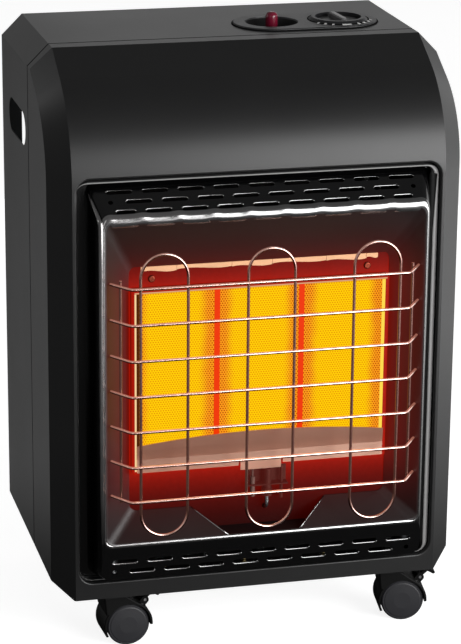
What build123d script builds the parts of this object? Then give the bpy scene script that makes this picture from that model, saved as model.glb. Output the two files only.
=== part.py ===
"""Portable cabinet heater with a three-plaque propane burner on four swivel casters.

Millimetres, +Z up, the front faces -Y. The origin is on the floor, under the middle of the
heater. Each function makes one piece of the heater and main() writes each piece to its file.
"""
from build123d import *
import math
import os

# ---- cutting ---------------------------------------------------------------------------
past = 1.0
close = 0.01

# ---- casings ---------------------------------------------------------------------------
casing_width = 420.0
casing_height = 547.0
rear_depth = 158.0
front_depth = 118.5
sheet = 1.2
corner_chamfer = 21.5
foot_chamfer_run = 20.0
foot_chamfer_rise = 16.0
crown_radius = 110.0
crown_slope = 28.0
crown_flat = 18.0
seam_gap = 3.0
joggle_length = 9.0
joggle_clearance = 0.15
rear_return = 20.0
bottom_return = 14.0
bottom_return_end = 10.0
base_rim = 6.0
base_vent_count = 4
base_vent_pitch = 40.0
base_vent_length = 60.0
base_vent_width = 8.0

# ---- opening in the front casing -------------------------------------------------------
opening_cheek = 26.0
opening_sill = 18.0
opening_head = 110.0
opening_radius = 14.0
opening_return = 12.0
edge_roll = 2.0

# ---- hand holes in the sides -----------------------------------------------------------
hand_hole_length = 98.0
hand_hole_height = 35.0
hand_hole_y = 67.0
hand_hole_drop = 92.5

# ---- reflector pan ---------------------------------------------------------------------
enamel = 1.0
pan_flange = 10.0
pan_side_margin = 10.0
pan_low_margin = 6.0
pan_high_margin = 5.0
ridge_reach = 25.5
ridge_side_run = 9.0
ridge_low_run = 40.0
ridge_high_run = 30.0
pan_toe_rise = 4.0
pan_toe_reach = 18.5
ridge_land = 4.0
ridge_round = 3.0
hip_round = 10.0
recess_depth = 27.5
cup_lead = 2.0
recess_side_run = 32.0
recess_low_run = 28.0
recess_high_run = 55.0
recess_round = 12.0
bay_front_half_width = 34.0
bay_back_half_width = 70.0

slot_length = 25.5
slot_height = 4.6
slot_margin = 9.85
slot_count = 9
slot_row_pitch = 11.8
upper_rows = 3
lower_rows = 2
upper_row_start = 10.8
lower_row_start = 16.0
end_slot_trim = 6.0
peg_hole_radius = 2.4
peg_hole_offset = 10.0

# ---- burner ----------------------------------------------------------------------------
burner_side_margin = 6.0
burner_low_margin = 45.0
burner_high_margin = 25.5
window_bar = 5.5
plaque_overlap = 1.5
plaque_thickness = 13.0
plaque_clearance = 0.15
burner_plate_overlap = 8.0
burner_plate_drop = 32.0
burner_lip_width = 4.5
burner_lip_reach = 9.5
burner_lip_round = 3.0
gasket_height = 5.0
gasket_gap = 0.4
gasket_wave = 0.7
gasket_splits = (-0.7, -0.24, 0.1, 0.56, 0.9)
plenum_depth = 42.0
plenum_wall = 1.1
plenum_tab_gap = 1.0
plenum_tab_margin = 8.0
mixer_radius = 11.0
mixer_wall = 1.0
mixer_low = 44.0
mixer_setback = 14.0
duct_inset = 1.0
bell_flare = 3.0
bell_height = 6.0
injector_radius = 4.0
injector_height = 5.0
injector_tip = 6.0
injector_tip_radius = 2.4
manifold_radius = 6.0
manifold_z = 20.0
manifold_overhang = 18.0
saddle_half_depth = 10.0
saddle_rise = 9.0
saddle_foot = 12.0
flange_screw_inset = 23.0
flange_screw_drop = 13.0

# ---- deflector and pilot ---------------------------------------------------------------
deflector_margin = 6.0
deflector_drop = 1.0
deflector_end_height = 29.0
deflector_arch = 8.5
deflector_tab_half_width = 22.0
deflector_tab_drop = 5.0
deflector_standoff = 12.0
deflector_sheet = 0.8
deflector_crease = 14.0
deflector_lean = 3.0
deflector_slit = 2.0
deflector_slit_height = 7.0
pilot_x = 8.0
pilot_low = 100.0
pilot_shelf = 112.0
pilot_top = 129.0
pilot_tube_radius = 4.5
pilot_setback = 6.2
pilot_collar_gap = 4.0
pilot_collar = 8.0
pilot_collar_rim = 1.0
pilot_port_width = 3.0
pilot_port_low = 10.0
pilot_port_high = 3.0
pilot_bracket_height = 18.0
pilot_bracket_margin = 6.0
pilot_shelf_lip = 4.8
probe_spacing = 15.0
probe_radius = 1.7
probe_tail = 4.0
probe_rise = 2.0
probe_round = 1.36
electrode_radius = 2.5
electrode_sleeve_drop = 8.0
electrode_wire_radius = 0.9
electrode_wire_reach = 6.0
electrode_wire_rise = 1.0

# ---- guard -----------------------------------------------------------------------------
guard_reach = 166.0
wire_radius = 1.5
guard_wire_count = 7
guard_low_margin = 27.5
guard_high_margin = 8.5
guard_side_margin = 7.0
guard_bend_radius = 7.0
guard_wire_inset = 3.5
guard_rod_step = 10.0
guard_rod_overhang = 5.0
loop_side_margin = 9.5
loop_width = 47.0
loop_low_margin = 10.0
loop_high_margin = 24.5

# ---- controls --------------------------------------------------------------------------
bezel_side_margin = 24.0
bezel_y = 55.0
bezel_spacing = 71.0
bezel_radius = 40.0
bezel_height = 2.2
bezel_round = 1.2
bezel_skirt_inset = 3.0
bezel_skirt = 7.0
well_radius = 27.5
well_floor_radius = 21.0
well_depth = 17.0
moulding = 2.0
button_radius = 6.3
button_clearance = 0.3
button_height = 12.5
button_round = 5.0
button_travel = 6.0
button_stem = 14.0
ring_base_radius = 31.0
ring_top_radius = 27.5
ring_height = 2.8
knob_radius = 23.2
knob_clearance = 0.6
knob_recess = 12.0
knob_disc = 4.5
knob_round = 1.0
knob_floor_gap = 0.5
knob_push_travel = 3.0
grip_length = 38.0
grip_width = 7.0
grip_height = 5.5
grip_bevel = 1.2
grip_turn = 4.4
spindle_radius = 3.0
spindle_reach = 6.0
spindle_depth = 14.0
spindle_hole_gap = 1.0
shaft_clearance = 0.05
valve_width = 34.0
valve_height = 40.0
valve_bevel = 4.0
outlet_boss = 6.0
outlet_boss_rim = 3.0
pilot_boss = 5.0
pilot_boss_rim = 2.0
pilot_boss_offset = 9.5
igniter_radius = 9.0
igniter_length = 44.0
igniter_collar = 4.0
igniter_collar_rim = 3.0
bracket_sheet = 1.5
bracket_margin = 2.0
bracket_half_depth = 33.0
bracket_hole_gap = 0.5
plug_radius = 6.5
plug_under = 6.0
plug_top_gap = 0.3
inlet_radius = 4.75
inlet_length = 24.0
inlet_boss_radius = 8.0
inlet_boss = 8.0
inlet_nut = 7.0
inlet_nut_radius = 8.5
inlet_nut_sides = 6
inlet_wall = 1.5

# ---- inner shield ----------------------------------------------------------------------
shield_sheet = 0.8
shield_y = -24.0
shield_drop = 9.0
shield_flange = 14.0
shield_flange_margin = 8.0
shield_side_gap = 0.1
shield_foot_gap = 4.8
shield_rib_pitch = 120.0
shield_rib_margin = 60.0
shield_rib_width = 9.0
shield_rib_depth = 1.5

# ---- pipes -----------------------------------------------------------------------------
gas_pipe_radius = 4.0
gas_pipe_bend = 12.0
gas_pipe_straight = 2.0
pilot_pipe_radius = 2.0
pilot_pipe_bend = 6.0
pilot_pipe_clearance = 1.0
pilot_pipe_z = 86.0
pilot_pipe_setback = 40.0

# ---- casters ---------------------------------------------------------------------------
caster_height = 57.8
caster_inset = 62.5
caster_front_y = -92.5
caster_rear_y = 124.0
caster_trail = 14.0
caster_turns = {"front_left": 3.0, "front_right": -8.0, "rear_left": 0.0, "rear_right": 0.0}
wheel_radius = 22.3
wheel_width = 14.5
wheel_gap = 0.6
wheel_round = 1.6
wheel_rim = 3.0
wheel_rim_step = 1.0
wheel_dish = 0.6
wheel_hub_share = 0.4
web_thickness = 6.0
hood_radius = 25.7
hood_wall = 2.4
hood_width = 38.0
hood_top_gap = 2.6
hood_lip_near = 10.5
hood_lip_far = 21.0
hood_edge = 1.5
neck_half_width = 11.5
neck_taper = 2.0
neck_foot = 14.0
neck_shoulder = (14.0, 21.0)
axle_radius = 3.0
axle_boss_rim = 5.0
stem_radius = 4.0
stem_length = 30.0
stem_collar_rim = 2.5
stem_collar_gap = 0.6
stem_bevel = 1.0
stem_end_gap = 0.4
socket_radius = 7.0
socket_roof = 2.0
socket_flange_radius = 12.0
socket_flange = 1.5
lever_pivot_angle = 49.0
lever_pivot_reach = 29.8
lever_hub_radius = 3.4
lever_pin_radius = 1.5
lever_width = 13.0
lever_thickness = 3.2
lever_knee = (8.0, 7.2)
lever_tip = (14.5, 3.6)
lever_ear = 3.0
lever_ear_radius = 4.0
lever_ear_inset = 3.0
lever_side_gap = 0.4

# ---- small parts -----------------------------------------------------------------------
screw_head_radius = 3.6
screw_head_height = 2.2
screw_head_round = 1.3
screw_shank_radius = 1.9
screw_length = 7.0
screw_clearance = 0.1
rear_screw_margin = 62.0
tilt_switch_length = 26.0
tilt_switch_depth = 18.0
tilt_switch_height = 18.0
tilt_switch_y = 40.0
tilt_switch_round = 1.5
tilt_cap_radius = 5.0
tilt_cap_height = 6.0

# ---- places worked out from the sizes above --------------------------------------------
seam_y = (guard_reach - rear_depth - screw_head_height) / 2
deck_z = caster_height
top_z = deck_z + casing_height
face_y = seam_y - front_depth
back_y = seam_y + rear_depth
half_width = casing_width / 2
crown_y = face_y + crown_radius
crown_tilt = math.radians(crown_slope)
crown_run = seam_y - crown_flat - crown_y + crown_radius * math.sin(crown_tilt)
crown_z = top_z - crown_run * math.tan(crown_tilt) - crown_radius * math.cos(crown_tilt)
opening_half_width = half_width - opening_cheek
opening_low = deck_z + opening_sill
opening_high = top_z - opening_head
hand_hole_z = top_z - hand_hole_drop

pan_half_width = opening_half_width - pan_side_margin
pan_low = opening_low + pan_low_margin
pan_high = opening_high - pan_high_margin
pan_toe_z = pan_low + pan_toe_rise
pan_flange_y = face_y + opening_return
ridge_half_width = pan_half_width - ridge_side_run
ridge_low = pan_low + ridge_low_run
ridge_high = pan_high - ridge_high_run
ridge_y = face_y - ridge_reach
recess_half_width = ridge_half_width - recess_side_run
recess_low = ridge_low + recess_low_run
recess_high = ridge_high - recess_high_run
recess_back_y = ridge_y + recess_depth
slot_pitch = (2 * (ridge_half_width - slot_margin) - slot_length) / (slot_count - 1)

burner_y = recess_back_y + enamel
plaques_half_width = recess_half_width - burner_side_margin
window_width = (2 * plaques_half_width - 2 * window_bar) / 3
window_pitch = window_width + window_bar
window_x = [step * window_pitch for step in (-1, 0, 1)]
window_low = recess_low + burner_low_margin
window_high = recess_high - burner_high_margin
window_height = window_high - window_low
window_z = (window_low + window_high) / 2
burner_plate_low = recess_low - burner_plate_drop
burner_plate_high = recess_high + burner_plate_overlap
flange_screw_x = recess_half_width - flange_screw_inset
flange_screw_z = recess_high - flange_screw_drop
plenum_back_y = burner_y + sheet + plenum_depth
mixer_y = plenum_back_y + mixer_setback
deflector_half_width = recess_half_width - deflector_margin
deflector_low = window_low - deflector_drop

guard_y = seam_y - guard_reach + wire_radius
guard_half_width = recess_half_width + guard_side_margin
guard_rod_x = guard_half_width + guard_rod_step
guard_low = recess_low + guard_low_margin
guard_high = recess_high - guard_high_margin
guard_wire_pitch = (guard_high - guard_low) / (guard_wire_count - 1)
loop_pitch = guard_half_width - loop_width / 2 - loop_side_margin
loop_low = recess_low - loop_low_margin
loop_high = recess_high + loop_high_margin

bezel_x = half_width - corner_chamfer - bezel_side_margin - bezel_radius - bezel_spacing / 2
knob_x = bezel_x + bezel_spacing / 2
button_x = bezel_x - bezel_spacing / 2
controls_y = seam_y + bezel_y
bezel_top_z = top_z + bezel_height
well_floor_z = bezel_top_z - well_depth
ring_top_z = bezel_top_z + ring_height
knob_floor_z = ring_top_z - knob_recess
bracket_z = well_floor_z - moulding
valve_top_z = bracket_z - bracket_sheet
valve_side_z = valve_top_z - valve_height / 2
outlet_z = valve_top_z - valve_height - outlet_boss
pilot_pipe_x = knob_x + pilot_boss_offset
shield_top_z = opening_high - shield_drop

base_floor_z = deck_z + sheet
hood_top_z = caster_height - hood_top_gap
caster_x = half_width - caster_inset


def at(x, y, z):
    """A place as a Location."""
    return Location((x, y, z))


def block(low, high):
    """A box given by its lowest and highest corners."""
    size = [b - a for a, b in zip(low, high)]
    centre = [(a + b) / 2 for a, b in zip(low, high)]
    return Location(tuple(centre)) * Box(*size)


def rod(start, end, radius):
    """A round bar from one point to another."""
    axis = Vector(*end) - Vector(*start)
    place = Plane(origin=start, z_dir=axis)
    return extrude(place * Circle(radius), axis.length)


def front_slab(sketch, y, depth):
    """A sketch drawn as seen from the front, x across and z up, thickened towards the back."""
    return extrude(Plane((0, y, 0), x_dir=(1, 0, 0), z_dir=(0, -1, 0)) * sketch, -depth)


# ---- casings ---------------------------------------------------------------------------
def cabinet_section(inset):
    """The cabinet's upright section across its width, drawn in by inset."""
    low = deck_z
    foot = deck_z + foot_chamfer_rise
    shoulder = top_z - corner_chamfer
    outline = Polygon(
        (-half_width + foot_chamfer_run, low), (half_width - foot_chamfer_run, low),
        (half_width, foot), (half_width, shoulder),
        (half_width - corner_chamfer, top_z), (-half_width + corner_chamfer, top_z),
        (-half_width, shoulder), (-half_width, foot), align=None)
    if inset == 0:
        return outline
    return offset(outline, amount=-inset, kind=Kind.INTERSECTION)


def cabinet_length(inset, start_y, end_y):
    """A length of the cabinet's section from start_y back to end_y."""
    return front_slab(cabinet_section(inset), start_y, end_y - start_y)


def front_form(inset, back):
    """The crowned, bevelled form of the front casing, drawn in by inset, open at back."""
    low = deck_z + inset
    high = top_z - inset
    front = face_y + inset
    radius = crown_radius - inset
    crease = (seam_y - crown_flat + inset * math.tan(crown_tilt / 2), high)
    knee = (crown_y - radius * math.sin(crown_tilt), crown_z + radius * math.cos(crown_tilt))
    with BuildSketch(Plane.YZ) as profile:
        with BuildLine():
            Polyline(knee, crease, (back, high), (back, low), (front, low), (front, crown_z))
            CenterArc((crown_y, crown_z), radius, 90 + crown_slope, 90 - crown_slope)
        make_face()
    body = extrude(profile.sketch, half_width - inset, both=True)
    bevel = corner_chamfer - inset * (2 - math.sqrt(2))
    side = half_width - inset
    edges = [
        edge for edge in body.edges()
        if abs(abs(edge.center().X) - side) < close
        and edge.center().Z > low + past and edge.center().Y < back - sheet / 2
    ]
    body = chamfer(edges, bevel)
    return body & cabinet_length(inset, front - past, back)


def bottom_window(start_y, end_y):
    """The opening left by the turned-in edges under the cabinet."""
    side = half_width - foot_chamfer_run - bottom_return
    return block((-side, start_y, deck_z - past), (side, end_y, deck_z + sheet + past))


def rounded_opening(grow):
    """The front opening's outline, grown by a margin."""
    outline = RectangleRounded(2 * (opening_half_width + grow),
                               opening_high - opening_low + 2 * grow, opening_radius + grow)
    return at(0, (opening_low + opening_high) / 2, 0) * outline


def front_casing():
    """Crowned sheet casing with bevelled cheeks, a framed opening and a joggled rear edge."""
    outer = front_form(0, seam_y)
    body = outer - front_form(sheet, seam_y + past)
    window = front_slab(rounded_opening(0), face_y - past, opening_return + past)
    collar = front_slab(rounded_opening(sheet), face_y - past, opening_return + past) & outer
    body = body + collar - window
    body -= bottom_window(face_y + bottom_return, seam_y + past)
    rim_start = seam_y - joggle_length
    inner = 2 * sheet + joggle_clearance
    step = cabinet_length(sheet / 2, rim_start, seam_y - sheet)
    step -= cabinet_length(inner, rim_start - past, seam_y)
    sleeve = cabinet_length(sheet + joggle_clearance, seam_y - sheet, seam_y + joggle_length)
    sleeve -= cabinet_length(inner, seam_y - 2 * sheet, seam_y + joggle_length + past)
    foot = block((-casing_width, rim_start - past, 0),
                 (casing_width, seam_y + joggle_length + past, deck_z + foot_chamfer_rise))
    body = body + (step + sleeve - foot)
    lip = [
        edge for edge in body.edges()
        if edge.center().Y < face_y + 2 * sheet
        and abs(edge.center().X) < opening_half_width + close
        and opening_low - close < edge.center().Z < opening_high + close
    ]
    return fillet(lip, edge_roll)


def racetrack(radius):
    """The control panel's outline: two round ends on the button's and the knob's centres."""
    outline = SlotCenterToCenter(bezel_spacing, radius * 2)
    return at(bezel_x, controls_y, 0) * outline


def rear_screw_places():
    """Screws through the turned-in rear edge, three on each side."""
    x = half_width - rear_return / 2
    low, high = deck_z + rear_screw_margin, top_z - rear_screw_margin
    return [(side * x, z) for side in (-1, 1) for z in (low, (low + high) / 2, high)]


def rear_casing():
    """Folded tunnel: top and sides in one sheet, rear edge turned in, hand holes cut through."""
    start = seam_y + seam_gap
    body = cabinet_length(0, start, back_y)
    body -= cabinet_length(sheet, start - past, back_y - sheet)
    body -= cabinet_length(rear_return, back_y - 2 * sheet, back_y + past)
    body -= bottom_window(start - past, back_y - bottom_return_end)
    grip = Rot(0, 90, 90) * SlotOverall(hand_hole_length, hand_hole_height)
    hole = extrude(grip, casing_width, both=True)
    body -= at(0, seam_y + hand_hole_y, hand_hole_z) * hole
    skirt = extrude(racetrack(bezel_radius - bezel_skirt_inset + screw_clearance), 4 * sheet)
    body -= at(0, 0, top_z - 2 * sheet) * skirt
    for x, z in rear_screw_places():
        body -= rod((x, back_y - 2 * sheet, z), (x, back_y + past, z),
                    screw_shank_radius + screw_clearance)
    return body


def screw(head_under):
    """A pan-head screw whose head sits on z = 0 and whose shank points down."""
    head = Cylinder(screw_head_radius, screw_head_height, align=(Align.CENTER, Align.CENTER, Align.MIN))
    head = fillet(head.edges().group_by(Axis.Z)[-1], screw_head_round)
    shank = Cylinder(screw_shank_radius, screw_length, align=(Align.CENTER, Align.CENTER, Align.MAX))
    return head_under * (head + shank)


def casing_screws():
    """Pan-head screws in the rear edge of the cabinet."""
    group = []
    for x, z in rear_screw_places():
        place = Location(Plane((x, back_y, z), x_dir=(1, 0, 0), z_dir=(0, 1, 0)))
        group.append(screw(place))
    return group


def caster_places():
    """Each caster's short name and the place of its stem on the floor."""
    return {
        "front_left": (-caster_x, seam_y + caster_front_y),
        "front_right": (caster_x, seam_y + caster_front_y),
        "rear_left": (-caster_x, seam_y + caster_rear_y),
        "rear_right": (caster_x, seam_y + caster_rear_y),
    }


def base_pan():
    """Flat base tray that rests on the turned-in edges and carries the casters."""
    side = half_width - foot_chamfer_run - sheet
    front = face_y + 2 * sheet
    back = back_y - 2 * sheet
    body = block((-side, front, base_floor_z), (side, back, base_floor_z + sheet))
    rim = block((-side, front, base_floor_z), (side, back, base_floor_z + base_rim))
    rim -= block((-side + sheet, front + sheet, base_floor_z - past),
                 (side - sheet, back - sheet, base_floor_z + base_rim + past))
    body += rim
    for x, y in caster_places().values():
        body -= rod((x, y, base_floor_z - past), (x, y, base_floor_z + 2 * sheet), socket_radius)
    for step in range(base_vent_count):
        x = (step - (base_vent_count - 1) / 2) * base_vent_pitch
        vent = SlotOverall(base_vent_length, base_vent_width, 90)
        body -= at(x, seam_y + rear_depth / 2, base_floor_z) * extrude(vent, 2 * sheet, both=True)
    return body


# ---- reflector pan ---------------------------------------------------------------------
def hump(inset):
    """The proud outer form of the pan, mitred from its side and plan profiles."""
    tail = pan_flange_y + 5 * inset
    side = Polygon(
        (pan_flange_y, pan_high), (ridge_y, ridge_high), (ridge_y, ridge_low),
        (face_y - pan_toe_reach, pan_toe_z), (pan_flange_y, pan_low),
        (tail, pan_low), (tail, pan_high), align=None)
    plan = Polygon(
        (-pan_half_width, pan_flange_y), (-ridge_half_width, ridge_y),
        (ridge_half_width, ridge_y), (pan_half_width, pan_flange_y),
        (pan_half_width, tail), (-pan_half_width, tail), align=None)
    if inset:
        side = offset(side, amount=-inset, kind=Kind.INTERSECTION)
        plan = offset(plan, amount=-inset, kind=Kind.INTERSECTION)
    body = extrude(Plane.YZ * side, half_width, both=True)
    body &= extrude(plan, top_z)
    hips = [
        edge for edge in body.edges()
        if abs(edge.center().X) > recess_half_width
        and abs(edge.tangent_at(0.5).Y) > 0.3
        and edge.center().Y > ridge_y + inset + past
    ]
    return fillet(hips, hip_round - inset)


def cup(grow):
    """The tapered space in front of the burner, mitred from its side and plan profiles."""
    lead = cup_lead / recess_depth
    mouth = {"half": ridge_half_width - ridge_land, "low": ridge_low + ridge_land,
             "high": ridge_high - ridge_land}
    back = {"half": recess_half_width, "low": recess_low, "high": recess_high}

    def reach(name, along):
        """A size of the cup at a share of its depth."""
        return mouth[name] + (back[name] - mouth[name]) * along

    near, far = ridge_y - cup_lead, recess_back_y + cup_lead
    side = Polygon(
        (near, reach("low", -lead)), (far, reach("low", 1 + lead)),
        (far, reach("high", 1 + lead)), (near, reach("high", -lead)), align=None)
    plan = Polygon(
        (-reach("half", -lead), near), (reach("half", -lead), near),
        (reach("half", 1 + lead), far), (-reach("half", 1 + lead), far), align=None)
    if grow:
        side = offset(side, amount=grow, kind=Kind.INTERSECTION)
        plan = offset(plan, amount=grow, kind=Kind.INTERSECTION)
    body = extrude(Plane.YZ * side, half_width, both=True)
    body &= extrude(plan, top_z)
    corners = [edge for edge in body.edges() if abs(edge.tangent_at(0.5).Y) > 0.3]
    body = fillet(corners, recess_round + grow)
    return body & block((-half_width, near, 0), (half_width, recess_back_y, top_z))


def pilot_bay(grow):
    """The low bay for the pilot, cut level through the middle of the cup's floor."""
    front = bay_front_half_width + grow
    back = bay_back_half_width + grow
    bay_plan = Polygon((-front, ridge_y - cup_lead), (front, ridge_y - cup_lead),
                       (back, recess_back_y), (-back, recess_back_y), align=None)
    bay_floor = ridge_low + ridge_land - grow
    return at(0, 0, bay_floor) * extrude(bay_plan, recess_low - ridge_low)


def panel_frame(upper):
    """A frame on the pan's upper or lower panel: x across, y up the slope, z outwards."""
    if upper:
        rise = Vector(0, pan_flange_y - ridge_y, pan_high - ridge_high)
        start = (0, ridge_y, ridge_high)
    else:
        rise = Vector(0, ridge_y - face_y + pan_toe_reach, ridge_low - pan_toe_z)
        start = (0, ridge_y, ridge_low)
    across = Vector(1, 0, 0)
    return Plane(start, x_dir=across, z_dir=across.cross(rise))


def slot_row(frame, height, staggered, trim):
    """One row of slots on a panel; a staggered row ends in two round holes."""
    count = slot_count - 1 if staggered else slot_count
    cutters = []
    for step in range(count):
        x = (step - (count - 1) / 2) * slot_pitch
        length = slot_length
        if step in (0, count - 1):
            length -= trim
            x -= math.copysign(trim / 2, x)
        outline = at(x, height, 0) * SlotOverall(length, slot_height)
        cutters.append(extrude(frame * outline, 4 * enamel, both=True))
    if staggered:
        for side in (-1, 1):
            x = side * ((slot_count - 1) / 2 * slot_pitch + peg_hole_offset)
            outline = at(x, height, 0) * Circle(peg_hole_radius)
            cutters.append(extrude(frame * outline, 4 * enamel, both=True))
    return cutters


def slot_cutters():
    """Every slot and round hole of the pan's two panels."""
    cutters = []
    upper, lower = panel_frame(True), panel_frame(False)
    for row in range(upper_rows):
        height = upper_row_start + row * slot_row_pitch
        cutters += slot_row(upper, height, row == 1, end_slot_trim if row == 0 else 0)
    for row in range(lower_rows):
        height = -lower_row_start - row * slot_row_pitch
        cutters += slot_row(lower, height, row == 1, 0)
    return cutters


def throat():
    """The hole in the pan's back plate, as wide as the recess where it meets the burner."""
    recess = cup(0) + pilot_bay(0)
    mouths = [face for face in recess.faces() if abs(face.center().Y - recess_back_y) < close]
    return [extrude(face, 2 * enamel, both=True) for face in mouths]


def burner_plate_outline():
    """The plate behind the recess: it laps the recess's edge on every side."""
    return at(0, (burner_plate_low + burner_plate_high) / 2, 0) * Rectangle(
        2 * (recess_half_width + burner_plate_overlap), burner_plate_high - burner_plate_low)


def ridged_form(inset):
    """The hump with the cup and the bay taken out and its ridge rounded, drawn in by inset."""
    body = hump(inset) - cup(inset)
    ridge = [edge for edge in body.edges() if abs(edge.center().Y - ridge_y - inset) < close]
    return fillet(ridge, ridge_round - inset) - pilot_bay(inset)


def reflector_pan():
    """Enamelled pan: a proud slotted frame folded round the recess in front of the burner."""
    body = ridged_form(0) - ridged_form(enamel)
    flange = at(0, (opening_high + opening_low) / 2, 0) * RectangleRounded(
        2 * (opening_half_width + pan_flange), opening_high - opening_low + 2 * pan_flange,
        opening_radius)
    base = at(0, (pan_high + pan_low) / 2, 0) * RectangleRounded(
        2 * (pan_half_width - enamel), pan_high - pan_low - 2 * enamel, hip_round)
    body += front_slab(flange - base, pan_flange_y, enamel)
    back = front_slab(burner_plate_outline(), recess_back_y, enamel)
    for mouth in throat():
        back -= mouth
    body += back
    for cutter in slot_cutters():
        body -= cutter
    return body


# ---- burner ----------------------------------------------------------------------------
def window(grow):
    """One plaque window's outline about its own centre."""
    return Rectangle(window_width + 2 * grow, window_height + 2 * grow)


def flange_screw_places():
    """The two screws above the burner."""
    return [(side * flange_screw_x, flange_screw_z) for side in (-1, 1)]


def burner_frame():
    """Steel plate with three plaque windows and one raised lip round all three."""
    body = front_slab(burner_plate_outline(), burner_y, sheet)
    inner = at(0, window_z, 0) * Rectangle(2 * plaques_half_width, window_height)
    outer = at(0, window_z, 0) * Rectangle(
        2 * (plaques_half_width + burner_lip_width), window_height + 2 * burner_lip_width)
    lip = front_slab(outer, burner_y - burner_lip_reach, burner_lip_reach)
    rim = lip.edges().filter_by(Axis.Y) + lip.edges().group_by(Axis.Y)[0]
    lip = fillet(rim, burner_lip_round)
    body += lip - front_slab(inner, burner_y - burner_lip_reach - past, burner_lip_reach + past)
    for x in window_x:
        body -= front_slab(at(x, window_z, 0) * window(0), burner_y - past, sheet + 2 * past)
    for x, z in flange_screw_places():
        body -= rod((x, burner_y - past, z), (x, burner_y + 2 * sheet, z),
                    screw_shank_radius + screw_clearance)
    z = deck_z + pilot_pipe_z
    body -= rod((pilot_x, burner_y - past, z), (pilot_x, burner_y + 2 * sheet, z),
                pilot_pipe_radius + pilot_pipe_clearance)
    return body


def burner_gasket():
    """Ceramic-fibre strip under the recess's upper edge, torn into lengths with a wavy foot."""
    high = recess_high - gasket_gap
    reach = recess_half_width - recess_round
    ends = [-reach] + [share * reach for share in gasket_splits] + [reach]
    group = []
    for step, (start, end) in enumerate(zip(ends, ends[1:])):
        left, right = start + gasket_gap / 2, end - gasket_gap / 2
        low = high - gasket_height + gasket_wave * (step % 2)
        with BuildSketch() as strip:
            with BuildLine():
                Line((left, high), (right, high))
                Line((right, high), (right, low))
                Spline((right, low), ((left + 2 * right) / 3, low - gasket_wave),
                       ((2 * left + right) / 3, low + gasket_wave), (left, low))
                Line((left, low), (left, high))
            make_face()
        group.append(front_slab(strip.sketch, recess_back_y, enamel))
    return group


def plaque(x):
    """One ceramic plaque behind its window."""
    tile = front_slab(at(x, window_z, 0) * window(plaque_overlap), burner_y + sheet, plaque_thickness)
    return tile


def plenum(x):
    """Pressed box behind a plaque, with its mixing tube and bell mouth."""
    front = burner_y + sheet
    seat = plaque_overlap + plaque_clearance
    outside = seat + plenum_wall
    body = front_slab(at(x, window_z, 0) * window(outside), front, plenum_depth)
    body -= front_slab(at(x, window_z, 0) * window(seat), front - past, plaque_thickness + past)
    chamber = at(x, window_z, 0) * window(0)
    body -= front_slab(chamber, front, plenum_depth - plenum_wall)
    tab = block((x - window_pitch / 2 + plenum_tab_gap, front, window_high + outside - past),
                (x + window_pitch / 2 - plenum_tab_gap, front + plenum_wall,
                 flange_screw_z + plenum_tab_margin))
    body += tab
    neck_z = window_low + 2 * mixer_radius
    mouth_z = deck_z + mixer_low
    duct_half = mixer_radius - duct_inset
    duct = block((x - duct_half, plenum_back_y - plenum_wall, neck_z - mixer_radius),
                 (x + duct_half, mixer_y, neck_z + mixer_radius))
    tube = rod((x, mixer_y, mouth_z), (x, mixer_y, neck_z + mixer_radius), mixer_radius)
    bell = at(x, mixer_y, mouth_z) * Cone(mixer_radius + bell_flare, mixer_radius, bell_height,
                                          align=(Align.CENTER, Align.CENTER, Align.MIN))
    body += duct + tube + bell
    inner = mixer_radius - mixer_wall
    body -= rod((x, mixer_y, mouth_z - past), (x, mixer_y, neck_z + inner), inner)
    body -= rod((x, plenum_back_y - 2 * plenum_wall, neck_z), (x, mixer_y, neck_z),
                duct_half - 2 * plenum_wall)
    for screw_x, z in flange_screw_places():
        if abs(screw_x - x) < window_pitch / 2:
            body -= rod((screw_x, front - past, z), (screw_x, front + 2 * plenum_wall, z),
                        screw_shank_radius + screw_clearance)
    return body


def flange_screws():
    """Pan-head screws that hold the burner to its plate."""
    places = [Plane((x, burner_y, z), x_dir=(1, 0, 0), z_dir=(0, -1, 0))
              for x, z in flange_screw_places()]
    return [screw(Location(place)) for place in places]


def manifold():
    """Gas rail under the three mixing tubes."""
    end = window_pitch + manifold_overhang
    z = deck_z + manifold_z
    return rod((-end, mixer_y, z), (end, mixer_y, z), manifold_radius)


def injectors():
    """Three brass injectors that stand on the gas rail under the mixing tubes."""
    group = []
    for x in window_x:
        low = deck_z + manifold_z
        shoulder = low + manifold_radius + injector_height
        body = rod((x, mixer_y, low), (x, mixer_y, shoulder), injector_radius)
        body += rod((x, mixer_y, shoulder), (x, mixer_y, shoulder + injector_tip),
                    injector_tip_radius)
        group.append(body - manifold())
    return group


def manifold_brackets():
    """Two saddles that hold the gas rail above the base."""
    group = []
    floor = base_floor_z + sheet
    for x in (-window_pitch / 2, window_pitch / 2):
        front, back = mixer_y - saddle_half_depth, mixer_y + saddle_half_depth
        plate = block((x - bracket_sheet / 2, front, floor),
                      (x + bracket_sheet / 2, back, deck_z + manifold_z + saddle_rise))
        plate += block((x, front, floor), (x + saddle_foot, back, floor + bracket_sheet))
        group.append(plate - manifold())
    return group


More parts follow.
